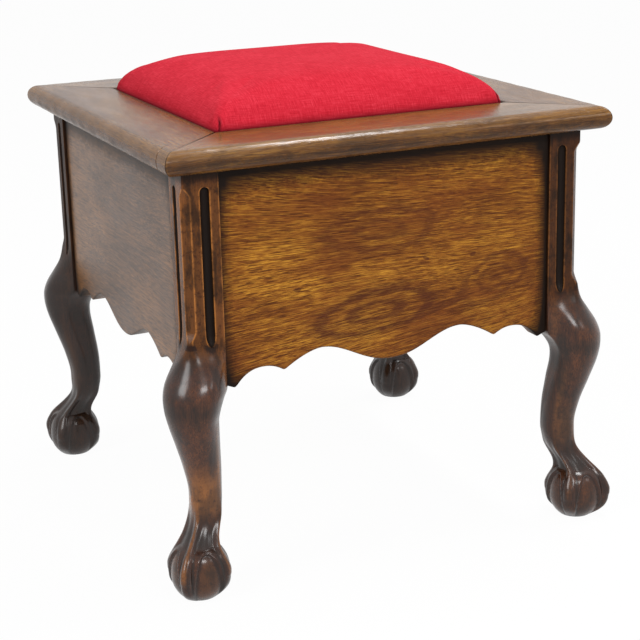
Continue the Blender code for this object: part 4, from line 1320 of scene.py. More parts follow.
    def ring(self, z: float) -> HalfRing:
        """Make a whole ring: the foot below, the leg above, and a blend between them.

        Args:
            z: the height.

        Returns:
            Points as distances out along both sides, wear, and dirt with painted shade.
        """
        if z <= self.foot_blend:
            half = self.foot_half(z)
        elif z >= self.ankle:
            half = self.leg_half(z)
        else:
            share = float(ramp_up(z, self.foot_blend, self.ankle))
            half = tuple(a * (1 - share) + b * share for a, b in zip(self.foot_half(z), self.leg_half(z)))
        points, wear, grime = half
        whole = np.vstack([points, points[-2:0:-1, ::-1]])
        return whole, np.concatenate([wear, wear[-2:0:-1]]), np.concatenate([grime, grime[-2:0:-1]])

    def build(self) -> None:
        """Build the four legs."""
        finish = LEG_WOOD.material()
        heights = self.heights()
        plans, wear, grime = (np.array(part) for part in zip(*(self.ring(z) for z in heights)))
        levels = np.broadcast_to(heights[:, None, None], (*plans.shape[:2], 1))
        polish = np.repeat(self.polish.at(heights), plans.shape[1])
        for corner in Corner:
            rings = np.concatenate([plans * corner.value, levels], axis=-1)
            # Each leg's painted shade is the least darkening of its points
            fields = {
                "wear": wear * (1.0 if corner is Corner.FRONT_LEFT else self.other_legs_rubbed),
                "grime": np.maximum(grime, self.leg_shade[corner]),
                "polish": polish,
            }
            leg = add_mesh(f"carved_leg_{corner.label}", *loft(rings), fields, 42)
            dress(leg, finish, Body.CARCASS, "leg_wood", f"leg_{corner.label}")


@dataclass
class Panels:
    """Four veneered panels with scalloped lower edges and tongues in the posts."""

    lobe: float = 194.5 * MM
    arch: float = 215.8 * MM
    cusp: float = 200 * MM
    small_arch: float = 206.5 * MM
    drop: float = 190.8 * MM
    end: float = 194.4 * MM
    cusp_from_post: float = 57.6 * MM
    small_arch_from_post: float = 38.3 * MM
    drop_from_post: float = 9.3 * MM
    arch_crest: float = 0.656
    arch_rise: float = 1.15
    arch_fall: float = 1.6
    small_arch_fall: float = 2.5
    cusp_softness: float = 1.1 * MM
    end_kept: tuple[float, float] = (2 * MM, 6 * MM)
    smoothing_steps: int = 2401
    steps: int = 22
    edge_radius: float = 1.5 * MM
    rim_radius: float = 0.6 * MM
    # Painted shade under the lid, beside both posts and on the drops by the posts
    lid_shade: Shade = Shade(0.98, 15, 8, 1.2)
    left_shade: Shade = Shade(0.80, 8, 0, 1.1)
    right_shade: Shade = Shade(0.98, 9, 2, 1.1)
    # Darker along the lower edge
    foot_darkening: Shade = Shade(0.6, 2.5)
    drop_shade: Shade = Shade(0.7, 18)
    drop_shade_from: tuple[float, float] = (138 * MM, 164 * MM)
    # Inside faces evenly darker
    inside_dirt: float = 0.35

    def lower_edge(self) -> np.ndarray:
        """Draw the scalloped edge.

        Returns:
            Points from the left end to the right one, as X and Z.
        """
        end = PLAN.post_in - PLAN.fit
        cusp = PLAN.post_in - self.cusp_from_post
        crest = cusp * self.arch_crest
        small = PLAN.post_in - self.small_arch_from_post
        drop = PLAN.post_in - self.drop_from_post
        stretches = [
            (0.0, crest, self.lobe, self.arch, lambda t: ease(t) ** self.arch_rise),
            (crest, cusp, self.arch, self.cusp, lambda t: t ** self.arch_fall),
            (cusp, small, self.cusp, self.small_arch, lambda t: 1 - (1 - t) ** 2),
            (small, drop, self.small_arch, self.drop, lambda t: t ** self.small_arch_fall),
            (drop, end, self.drop, self.end, lambda t: t),
        ]
        half = [np.array([[0.0, self.lobe]])]
        t = np.linspace(0.0, 1.0, self.steps + 1)[1:]
        for x0, x1, z0, z1, shape in stretches:
            half.append(np.column_stack([x0 + (x1 - x0) * t, z0 + (z1 - z0) * shape(t)]))
        right = np.vstack(half)
        whole = np.vstack([right[:0:-1] * (-1, 1), right])
        dense = np.linspace(-end, end, self.smoothing_steps)
        heights = np.interp(dense, whole[:, 0], whole[:, 1])
        near = np.exp(-0.5 * ((whole[:, :1] - dense[None, :]) / self.cusp_softness) ** 2)
        soft = (near * heights).sum(axis=1) / near.sum(axis=1)
        keep = ramp_up(end - np.abs(whole[:, 0]), *self.end_kept)
        whole[:, 1] += keep * (soft - whole[:, 1])
        return whole

    def section(self, bottom: float) -> np.ndarray:
        """Draw the panel's outline across its thickness.

        Args:
            bottom: height of its lower edge.

        Returns:
            Points as Y and Z, from the front's foot round.
        """
        r, soft = self.edge_radius, self.rim_radius
        low, high = bottom + r, PLAN.rim - soft
        front = [(-PLAN.panel_out + r + r * cos(a), low + r * sin(a)) for a in np.linspace(pi * 1.5, pi, 5)]
        front += [(-PLAN.panel_out, low + (high - low) * t) for t in ease(np.linspace(0, 1, 18))[1:]]
        top = [(-PLAN.panel_out + soft, PLAN.rim), (-PLAN.panel_in - soft, PLAN.rim)]
        back = [(-PLAN.panel_in, high + (low - high) * t) for t in np.linspace(0, 1, 9)]
        back += [(-PLAN.panel_in - r + r * cos(a), low + r * sin(a)) for a in np.linspace(0, -pi / 2, 4)[1:]]
        return np.array(front + top + back)

    def tongue(self, count: int) -> np.ndarray:
        """Draw the outline of a tongue.

        Args:
            count: how many points it has.

        Returns:
            Points as Y and Z.
        """
        near, far = -PLAN.panel_middle - PLAN.tongue_half, -PLAN.panel_middle + PLAN.tongue_half
        low, high = PLAN.tongue_bottom, PLAN.rim
        corners = np.array([(near, low), (near, high), (far, high), (far, low)])
        points = []
        for i, part in enumerate(np.array_split(np.arange(count), 4)):
            a, b = corners[i], corners[(i + 1) % 4]
            points += [a + (b - a) * k / len(part) for k in range(len(part))]
        return np.array(points)

    def build(self, mortises: Pairs) -> None:
        """Build the four panels, with mortises for the hinges in the back one.

        Args:
            mortises: lowest and highest corners of the hinges' beds.
        """
        finishes = {grain: wood.material() for grain, wood in VENEER.items()}
        edge = self.lower_edge()
        sections = [self.section(z) for _, z in edge]
        tongue = self.tongue(len(sections[0]))
        outlines = [tongue, tongue, *sections, tongue, tongue]
        far = PLAN.post_in + PLAN.tongue_length
        end = PLAN.post_in - PLAN.fit
        xs = [-far, -end, *edge[:, 0], end, far]
        rings = np.array([np.column_stack([np.full(len(o), x), o]) for x, o in zip(xs, outlines)])
        x, y, z = rings[..., 0], rings[..., 1], rings[..., 2]
        # Painted shade on the drops by the posts, under the lid and beside both posts
        raised = z - np.pad(edge[:, 1], 2, "edge")[:, None]
        darkening = ramp_up(np.abs(x), *self.drop_shade_from) * self.drop_shade.at(raised)
        foot = self.foot_darkening.at(raised) + darkening
        shade = self.lid_shade.at(PLAN.rim - z) + self.left_shade.at(end + x) + self.right_shade.at(end - x)
        # Darker along the lower edge, and evenly darker on the inside faces
        grime = np.where(y < -PLAN.panel_middle, np.clip(shade + foot, 0, 1), self.inside_dirt)
        for side in Side:
            panel = add_mesh(f"veneered_panel_{side.label}", *loft(side.place(rings)),
                             {"grime": grime, "wear": np.zeros(grime.size)}, 40)
            if side is Side.BACK:
                for low, high in mortises:
                    combine(panel, box_piece("mortise", low, high))
            dress(panel, finishes[side.grain], Body.CARCASS, "panel_wood", f"panel_{side.label}")


@dataclass(frozen=True)
class ScrewSize:
    """Countersunk wood screw, and the spare room in its hole."""

    head: float
    shank: float
    length: float
    spare: float = 0.2 * MM

    @property
    def cone(self) -> float:
        """Return the depth of the countersunk head."""
        return self.head - self.shank

    def hole(self, place: Point, axis: Point) -> Piece:
        """Make the cutter of a countersunk hole.

        Args:
            place: where the head's face is.
            axis: the way in.

        Returns:
            The cutter.
        """
        wide, narrow = self.head + self.spare, self.shank + self.spare
        profile = [(-1 * MM, wide), (self.spare, wide), (self.cone + self.spare, narrow),
                   (self.length + self.spare, narrow)]
        return turned_piece("hole", profile, place, axis, 24)


@dataclass
class LidFrame:
    """Mitred frame of the lid, with a bull nose outside and a rebate for the seat inside."""

    # Section of a rail
    ledge_width: float = 14 * MM
    ledge_thickness: float = 8 * MM
    arris: float = 1.5 * MM
    # Mitres that have opened towards the seat
    open_mitre: float = 1.5 * MM
    open_power: float = 2.5
    open_depth: float = 6 * MM
    # Parts of the section, from the lid's edge and from its top
    nose_from: float = 13 * MM
    nose_full: float = 8 * MM
    nose_middle: float = 11 * MM
    upper_part: float = 8 * MM
    top_part: float = 1 * MM
    nose_steps: int = 26
    ring_steps: int = 73
    end_rings: tuple[float, ...] = (0.0, 0.0012, 0.003, 0.006, 0.010, 0.016)
    # Knocks, and the joint of a patch
    wobble: float = 0.25 * MM
    patch_from_corner: float = 23 * MM
    patch_width: float = 0.45 * MM
    patch_depth: float = 0.9 * MM
    nick_place: float = -178 * MM
    nick_depth: float = 0.7 * MM
    nick_width: float = 2.2 * MM
    nick_from_edge: float = 5 * MM
    nick_reach: float = 3 * MM
    nick_bottom: float = 9 * MM
    # Beds of the seat's screws and of the hinges' knuckles
    screw_from_ledge: float = 7 * MM
    knuckle_bed: float = 4.8 * MM
    # Dark joints, darkening by the opening, painted shade, and wear with a painted highlight
    end_dirt: Shade = Shade(0.9, 0.55)
    # Darker along the top's edge by the opening
    lip_darkening: Shade = Shade(0.75, 2.0, 1.0)
    # Painted shade on the underside and on the nose's lower half
    under_dirt: float = 0.45
    under_height: float = 0.5 * MM
    under_from_edge: float = 9 * MM
    nose_shade: float = 0.62
    nose_shade_place: Smudge = Smudge(1.0, 8, 4.5)
    # Wear on the nose's crown, partly a painted highlight
    crown_rub_and_highlight: Smudge = Smudge(0.22, 4, 4)
    end_rubbed: Smudge = Smudge(0.2, 1.4, 0.8)
    front_rubbed: float = 0.24

    def profile(self) -> np.ndarray:
        """Draw the rail's section.

        Returns:
            Points as distances out from the middle and heights.
        """
        radius = (PLAN.lid_top - PLAN.lid_bottom) / 2
        inner, nose = PLAN.opening - self.ledge_width, PLAN.lid_half - radius
        ledge = PLAN.lid_bottom + self.ledge_thickness
        out, up = PLAN.opening + self.arris, PLAN.lid_top - self.arris
        points = [(out - self.arris * sin(a), up + self.arris * cos(a)) for a in np.linspace(0, pi / 2, 5)]
        points += [(PLAN.opening, ledge + 3 * MM), (PLAN.opening, ledge)]
        points += [(inner, ledge), (inner, PLAN.lid_bottom)]
        points += [(x, PLAN.lid_bottom) for x in np.linspace(inner, nose, 8)[1:-1]]
        points += [(nose + radius * cos(a), PLAN.lid_bottom + radius + radius * sin(a))
                   for a in np.linspace(-pi / 2, pi / 2, self.nose_steps)]
        points += [(x, PLAN.lid_top) for x in np.linspace(nose, PLAN.opening + self.arris, 12)[1:-1]]
        return np.array(points)

    def rail(self, side: Side) -> tuple[np.ndarray, dict[str, np.ndarray]]:
        """Shape a rail, with its knocks, its patina, its painted shade and its painted highlight.

        Args:
            side: the rail's side.

        Returns:
            Rings of the rail as if at the front, and its fields.
        """
        out, z = self.profile().T
        ends = np.array(self.end_rings)
        patch = (self.patch_from_corner + np.linspace(-1.5, 1.5, 9) * MM) / PLAN.lid_half
        even = np.linspace(-1, 1, self.ring_steps)
        lengths = np.unique(np.concatenate([even, 1 - ends, ends - 1, 1 - patch]))
        share = np.clip((out - PLAN.opening) / (PLAN.lid_half - PLAN.opening), 0, 1)
        shrunk = ramp_up(z, PLAN.lid_top - self.open_depth, PLAN.lid_top - self.top_part)
        gap = PLAN.fit / 2 + self.open_mitre * (1 - share) ** self.open_power * shrunk
        rings = np.array([np.column_stack([at * (out - gap), -out, z]) for at in lengths])
        s = lengths[:, None]
        x, from_end = s * PLAN.lid_half, (1 - np.abs(s)) * PLAN.lid_half
        nose = ramp_up(out, PLAN.lid_half - self.nose_from, PLAN.lid_half - self.nose_full)
        upper = z > PLAN.lid_top - self.upper_part
        sink = nose * np.abs(self.wobble * np.sin(s * 23 + side.value * 2.1) * np.sin(s * 9.7 + side.value))
        # Painted shade on the nose's lower half and on the underside
        low_nose = nose * self.nose_shade_place.at(z - PLAN.lid_bottom)
        under = (z < PLAN.lid_bottom + self.under_height) * (out < PLAN.lid_half - self.under_from_edge)
        grime = strongest(self.end_dirt.at(from_end),
                          self.lip_darkening.at(out - PLAN.opening) * upper,
                          self.under_dirt * under,
                          self.nose_shade * low_nose * (0.75 + 0.25 * np.sin(s * 31) * np.sin(s * 13.3)))
        # Wear and painted highlight on the nose's crown, and worn mitre ends
        wear = self.crown_rub_and_highlight.at(PLAN.lid_half - out) * upper + self.end_rubbed.at(from_end) * nose
        if side is Side.LEFT:
            cut = spot(x, PLAN.lid_half - self.patch_from_corner, self.patch_width) * nose
            sink = sink + self.patch_depth * cut
            grime = np.maximum(grime, cut)
        if side is Side.FRONT:
            nick = spot(out, PLAN.lid_half - self.nick_from_edge, self.nick_reach)
            nick = spot(x, self.nick_place, self.nick_width) * nick
            sink = sink + self.nick_depth * nick * (z > PLAN.lid_top - self.nick_bottom)
            wear = wear + self.front_rubbed * (z > PLAN.lid_top - self.top_part)
        middle = (PLAN.lid_half - self.nose_middle, PLAN.lid_top - self.nose_middle)
        inward = np.column_stack([out, z]) - middle
        inward = inward / np.maximum(np.linalg.norm(inward, axis=1, keepdims=True), 1e-6)
        rings[..., 1] += sink * inward[:, 0]
        rings[..., 2] -= sink * inward[:, 1]
        return rings, {"grime": np.clip(grime, 0, 1), "wear": np.clip(wear, 0, 1)}

    def build(self, mortises: Pairs, knuckle_beds: list[tuple[Point, float]], screw: ScrewSize) -> Pairs:
        """Build the four rails, with beds for the hinges in the back one and holes for the seat's screws.

        Args:
            mortises: lowest and highest corners of the hinges' beds.
            knuckle_beds: start and length of the hollows round the hinges' knuckles.
            screw: size of the screws that hold the seat.

        Returns:
            Places and directions of the seat's screws.
        """
        finishes = {grain: wood.material() for grain, wood in LID_WOOD.items()}
        places = []
        for side in Side:
            rings, fields = self.rail(side)
            rail = add_mesh(f"polished_rail_{side.label}", *loft(side.place(rings)), fields, 40)
            place = tuple(side.place(np.array([0.0, self.screw_from_ledge - PLAN.opening, PLAN.lid_bottom])))
            places.append((place, (0, 0, 1)))
            combine(rail, screw.hole(*places[-1]))
            if side is Side.BACK:
                for low, high in mortises:
                    combine(rail, box_piece("mortise", low, high))
                for start, length in knuckle_beds:
                    profile = [(0.0, self.knuckle_bed), (length, self.knuckle_bed)]
                    combine(rail, turned_piece("bed", profile, start))
            dress(rail, finishes[side.grain], Body.LID, "lid_wood", f"lid_rail_{side.label}")
        deal = DEAL[Grain.ALONG_X].material()
        for corner in Corner:
            dress_node(f"mitre_spline_{corner.label}", deal)
        return places


@dataclass(frozen=True)
class ScrewSet:
    """Screws of one size on one body: their places and ways in, and the nodes that they stand for."""

    name: str
    size: ScrewSize
    slot: str
    body: Body
    places: Pairs
    nodes: tuple[str, ...]


@dataclass
class Screws:
    """Slotted screws, set by one node tree wherever a place and a direction are given.

    The slot's sizes and the shank's tip are shares of the radii.
    """

    seed: int = 7
    slot_length: float = 2.4
    slot_width: float = 0.32
    slot_depth: float = 0.70
    tip: float = 0.45
    head_sides: int = 28
    shank_sides: int = 16

    def tree(self) -> bpy.types.NodeTree:
        """Build the node tree that sets slotted screws on points.

        Returns:
            The tree.
        """
        tree = bpy.data.node_groups.new("slotted_screws", "GeometryNodeTree")
        kinds = {"Geometry": "Geometry", "Head Radius": "Float", "Shank Radius": "Float", "Length": "Float",
                 "Slot Width": "Float", "Slot Depth": "Float", "Finish": "Material"}
        for label, kind in kinds.items():
            tree.interface.new_socket(label, in_out="INPUT", socket_type="NodeSocket" + kind)
        tree.interface.new_socket("Geometry", in_out="OUTPUT", socket_type="NodeSocketGeometry")
        graph = Graph(tree)
        given = graph.node("NodeGroupInput", {}).node.outputs
        head, shank = given["Head Radius"], given["Shank Radius"]
        cone = graph.minus(head, shank)
        disc = graph.node("GeometryNodeMeshCone", {
            "Vertices": self.head_sides, "Radius Top": shank, "Radius Bottom": head, "Depth": cone})
        shares = (self.slot_length, given["Slot Width"], given["Slot Depth"])
        size = graph.node("CombineXYZ", {axis: graph.times(head, share) for axis, share in enumerate(shares)})
        slot = graph.node("GeometryNodeMeshCube", {"Size": size})
        slotted = graph.node("GeometryNodeMeshBoolean", {0: disc, 1: slot}, operation="DIFFERENCE")
        stem = graph.node("GeometryNodeMeshCone", {
            "Vertices": self.shank_sides, "Radius Bottom": shank, "Radius Top": graph.times(shank, self.tip),
            "Depth": graph.minus(given["Length"], cone)})
        up = graph.node("CombineXYZ", {2: cone})
        lifted = graph.node("GeometryNodeTransform", {"Geometry": stem, "Translation": up})
        whole = graph.node("GeometryNodeJoinGeometry", {0: slotted})
        graph.feed(whole.node.inputs[0], lifted)
        axis = graph.node("GeometryNodeInputNamedAttribute", {"Name": "axis"}, "Attribute",
                          data_type="FLOAT_VECTOR")
        align = graph.node("FunctionNodeAlignRotationToVector", {"Vector": axis}, axis="Z")
        placed = graph.node("GeometryNodeInstanceOnPoints", {
            "Points": given["Geometry"], "Instance": whole, "Rotation": align})
        spin = graph.node("FunctionNodeRandomValue", {"Seed": self.seed, 3: pi}, 1, data_type="FLOAT")
        angle = graph.node("CombineXYZ", {2: spin})
        turned = graph.node("GeometryNodeRotateInstances", {"Instances": placed, "Rotation": angle})
        real = graph.node("GeometryNodeRealizeInstances", {0: turned})
        paint = graph.node("GeometryNodeSetMaterial", {"Geometry": real, "Material": given["Finish"]})
        graph.feed(tree.nodes.new("NodeGroupOutput").inputs[0], paint)
        return tree

    def build(self, sets: list[ScrewSet]) -> None:
        """Build one mesh of screws for each set.

        Args:
            sets: the screws of one size and body.
        """
        tree = self.tree()
        sockets = {item.name: item.identifier for item in tree.interface.items_tree if item.in_out == "INPUT"}
        finishes = {"brass": BRASS.material(), "steel": STEEL.material()}
        for group in sets:
            mesh = bpy.data.meshes.new(group.name)
            mesh.from_pydata([place for place, _ in group.places], [], [])
            axis = mesh.attributes.new("axis", "FLOAT_VECTOR", "POINT")
            axis.data.foreach_set("vector", np.array([way for _, way in group.places], np.float32).ravel())
            piece = link_new(group.name, mesh)
            setter = piece.modifiers.new("screws", "NODES")
            setter.node_group = tree
            size, finish = group.size, finishes[group.slot]
            values = {"Head Radius": size.head, "Shank Radius": size.shank, "Length": size.length,
                      "Slot Width": self.slot_width, "Slot Depth": self.slot_depth, "Finish": finish}
            for label, value in values.items():
                setter[sockets[label]] = value
            bake_modifiers(piece)
            dress(piece, finish, group.body, group.slot, *group.nodes)


@dataclass
class Seat:
    """Padded slip seat: a crowned, cloth-covered pad on a board, with the cloth tucked at its corners."""

    # Form of the pad
    half: float = PLAN.opening - PLAN.fit
    skirt: float = 1.2 * MM
    edge: float = 415.0 * MM
    crown: float = 454.0 * MM
    corner_radius: float = 7 * MM
    corner_steps: int = 14
    bulge: float = 4.6
    rise: float = 1.9
    softening: float = 0.9
    rings: int = 32
    travel_steps: int = 400
    side_levels: tuple[float, ...] = (411 * MM, 406 * MM, PLAN.board_bottom)
    # Simulated cloth
    shrink: float = 0.8 * MM
    shrink_height: float = 14 * MM
    cap: float = 1.4 * MM
    frames: int = 20
    cloth_settings: dict[str, object] = field(default_factory=lambda: {
        "quality": 6, "mass": 0.25, "tension_stiffness": 12.0, "compression_stiffness": 12.0,
        "shear_stiffness": 6.0, "bending_stiffness": 0.4, "use_pressure": True, "uniform_pressure_force": 4.0,
        "vertex_group_mass": "held"})
    # Tucks, with painted shade in them and at the pad's foot
    tuck_from_corner: float = 4.5 * MM
    tuck_lean: float = 0.2
    front_left_lean: float = 0.35
    tuck_width: float = 1.1 * MM
    tuck_depth: float = 1.7 * MM
    tuck_reach: float = 26 * MM
    tuck_fade: tuple[float, float] = (7 * MM, 15 * MM)
    tuck_shade: float = 0.95
    tuck_shade_reach: float = 16 * MM
    foot_darkening: Shade = Shade(0.75, 2.2)
    foot_shade_height: float = 6 * MM
    below_lid: float = -2 * MM

    def loop(self, half: float, radius: float, count: int) -> np.ndarray:
        """Lay points round a square with rounded corners, evenly spaced along it.

        Args:
            half: half of its side.
            radius: radius of its corners.
            count: how many points, a multiple of 4.

        Returns:
            The points in plan, from the middle of the right side round.
        """
        quarter = [(half - radius + radius * cos(a), half - radius + radius * sin(a))
                   for a in np.linspace(0, pi / 2, self.corner_steps)]
        path = np.array([(half, 0.0), *quarter, (0.0, half)])
        lengths = lengths_along(path)
        at = np.linspace(0, lengths[-1], count // 4 + 1)[:-1]
        turns = [np.column_stack([np.interp(at, lengths, path[:, axis]) for axis in (0, 1)])]
        for _ in range(3):
            turns.append(np.column_stack([-turns[-1][:, 1], turns[-1][:, 0]]))
        return np.vstack(turns)

    def level(self, share: np.ndarray | float) -> np.ndarray | float:
        """Return the pad's height at a share of the way out."""
        return self.edge + (self.crown - self.edge) * (1 - share ** self.bulge) ** (1 / self.rise)

    def surface(self) -> tuple[np.ndarray, list[list[int]], int]:
        """Lay out the cloth: square loops over the crown, then straight sides down to the board's underside.

        Returns:
            Points, faces, and how many points lie above the lid.
        """
        loops = [np.array([[0.0, 0.0, self.crown]])]
        travel = np.linspace(0, 1, self.travel_steps)
        run = lengths_along(np.column_stack([self.half * travel, self.level(travel)]))
        for i in range(1, self.rings + 1):
            share = float(np.interp(run[-1] * i / self.rings, run, travel))
            reach = self.half * share
            radius = min(self.corner_radius + (self.half - reach) * self.softening, 0.98 * reach)
            plan = self.loop(reach, radius, 8 * i)
            loops.append(np.column_stack([plan, np.full(len(plan), self.level(share))]))
        above = sum(len(loop) for loop in loops)
        outer = self.loop(self.half, self.corner_radius, 8 * self.rings)
        loops += [np.column_stack([outer, np.full(len(outer), level)]) for level in self.side_levels]
        return np.vstack(loops), self.skin([len(loop) for loop in loops]), above

    def skin(self, counts: list[int]) -> list[list[int]]:
        """Join the loops, each with two more points a side than the one inside it, and then equal ones.

        Args:
            counts: how many points each loop has.

        Returns:
            The faces.
        """
        starts = [int(start) for start in np.concatenate([[0], np.cumsum(counts)])]
        faces = [[0, starts[1] + k, starts[1] + (k + 1) % counts[1]] for k in range(counts[1])]
        for ring in range(1, len(counts) - 1):
            inner, outer = counts[ring], counts[ring + 1]
            a, b = starts[ring], starts[ring + 1]
            if inner == outer:
                faces += self.band(a, b, inner)
                continue
            per_in, per_out = inner // 4, outer // 4
            for side in range(4):
                for k in range(per_in):
                    i0, i1 = (a + (side * per_in + k + step) % inner for step in (0, 1))
                    shift = 0 if k < per_in / 2 else 2
                    o0, o1 = (b + (side * per_out + k + shift + step) % outer for step in (0, 1))
                    if k == per_in // 2:
                        m0, m1 = (b + (side * per_out + k + step) % outer for step in (0, 1))
                        faces += [[i0, m0, m1], [i0, m1, o0]]
                    faces.append([i0, o0, o1, i1])
        return faces

    def band(self, a: int, b: int, count: int) -> list[list[int]]:
        """Return the faces between two loops of equally many points, from their first points."""
        return [[a + k, a + (k + 1) % count, b + (k + 1) % count, b + k] for k in range(count)]

    def inflate(self, points: np.ndarray, faces: list[list[int]], free: int) -> np.ndarray:
        """Swell the cloth with Blender's cloth solver, held at its sides.

        Args:
            points: the cloth's points.
            faces: its faces.
            free: how many points may move.

        Returns:
            The swollen points.
        """
        away = points - np.array([0.0, 0.0, self.edge])
        weight = ramp_up(points[:, 2], self.edge, self.edge + self.shrink_height)[:, None]
        outward = away / np.maximum(np.linalg.norm(away, axis=1, keepdims=True), 1e-6)
        start = points - outward * weight * self.shrink
        mesh = bpy.data.meshes.new("pad_cloth")
        mesh.from_pydata(start.tolist(), [], faces)
        pad = link_new("pad_cloth", mesh)
        held = pad.vertex_groups.new(name="held")
        held.add(list(range(free, len(points))), 1.0, "REPLACE")
        cloth = pad.modifiers.new("cloth", "CLOTH")
        for key, value in self.cloth_settings.items():
            setattr(cloth.settings, key, value)
        cloth.settings.effector_weights.gravity = 0.0
        cloth.point_cache.frame_end = self.frames
        for number in range(1, self.frames + 1):
            bpy.context.scene.frame_set(number)
        graph = bpy.context.evaluated_depsgraph_get()
        moved = np.array([v.co for v in pad.evaluated_get(graph).data.vertices])
        bpy.context.scene.frame_set(1)
        bpy.data.objects.remove(pad)
        step = moved - start
        length = np.maximum(np.linalg.norm(step, axis=1, keepdims=True), 1e-9)
        return start + step * np.minimum(1.0, self.cap / length)

    def finish_form(self, points: np.ndarray) -> tuple[np.ndarray, np.ndarray]:
        """Tuck the cloth at the corners, and paint shade in the tucks and at its foot.

        Args:
            points: points of the fine cloth.

        Returns:
            The moved points, and painted shade in the tucks and along the foot.
        """
        x, y, z = points.T
        up = z - PLAN.lid_top
        moved = points.copy()
        # Painted shade along the pad's foot where it meets the lid
        grime = self.foot_darkening.at(up) * (up < self.foot_shade_height)
        tall = (1 - ramp_up(up, *self.tuck_fade)) * (up > self.below_lid)
        for corner in Corner:
            across, along = corner.value
            lean = self.front_left_lean if corner is Corner.FRONT_LEFT else self.tuck_lean
            line = across * x - (self.half - self.tuck_from_corner - lean * np.maximum(up, 0) * 0.6)
            tuck = spot(line, 0.0, self.tuck_width) * (along * y > self.half - self.tuck_reach) * tall
            moved[:, 1] -= along * self.tuck_depth * tuck
            # Painted shade in the tucks
            grime = np.maximum(grime, self.tuck_shade * tuck * (along * y > self.half - self.tuck_shade_reach))
        return moved, grime

    def weave_map(self, mesh: bpy.types.Mesh) -> None:
        """Lay the cloth's threads: square over the crown, and straight down the sides.

        Args:
            mesh: the fine cloth.
        """
        points = np.array([v.co for v in mesh.vertices])
        owners = np.array([loop.vertex_index for loop in mesh.loops])
        corners = [face.loop_total for face in mesh.polygons]
        middles = np.repeat([face.center for face in mesh.polygons], corners, axis=0)
        x, y, z = points[owners].T
        fall = np.maximum(self.crown - z, 0.0)
        sideways = np.abs(middles[:, 0]) > np.abs(middles[:, 1])
        u = np.where(sideways, x + np.sign(middles[:, 0]) * fall, x)
        v = np.where(sideways, y, y + np.sign(middles[:, 1]) * fall)
        layer = mesh.uv_layers.new(name="weave")
        layer.data.foreach_set("uv", np.column_stack([u, v]).astype(np.float32).ravel())

    def build(self) -> None:
        """Build the pad and its cover, and dress the board under it."""
        points, faces, free = self.surface()
        points = self.inflate(points, faces, free)
        sides, count = 8 * self.rings, len(points)
        inner = self.loop(self.half - self.skirt, self.corner_radius, sides)
        levels = (PLAN.board_bottom, PLAN.board_top + PLAN.fit)
        points = np.vstack([points, *(np.column_stack([inner, np.full(sides, level)]) for level in levels)])
        faces = faces + self.band(count - sides, count, sides) + self.band(count, count + sides, sides)
        pad = add_mesh("padded_seat", points, faces, None, 60)
        smooth = pad.modifiers.new("smooth", "SUBSURF")
        smooth.levels = smooth.render_levels = 2
        smooth.boundary_smooth = "PRESERVE_CORNERS"
        bake_modifiers(pad)
        shape = bmesh.new()
        shape.from_mesh(pad.data)
        bmesh.ops.holes_fill(shape, edges=[edge for edge in shape.edges if edge.is_boundary], sides=0)
        bmesh.ops.recalc_face_normals(shape, faces=shape.faces)
        shape.to_mesh(pad.data)
        shape.free()
        fine, grime = self.finish_form(np.array([v.co for v in pad.data.vertices]))
        pad.data.vertices.foreach_set("co", fine.astype(np.float32).ravel())
        set_field(pad.data, "grime", grime)
        pad.data.shade_smooth()
        self.weave_map(pad.data)
        dress(pad, RED_CLOTH.material(), Body.LID, "red_cloth", "seat_cover", "seat_foam")
        dress_node("seat_board", PLYWOOD.material())


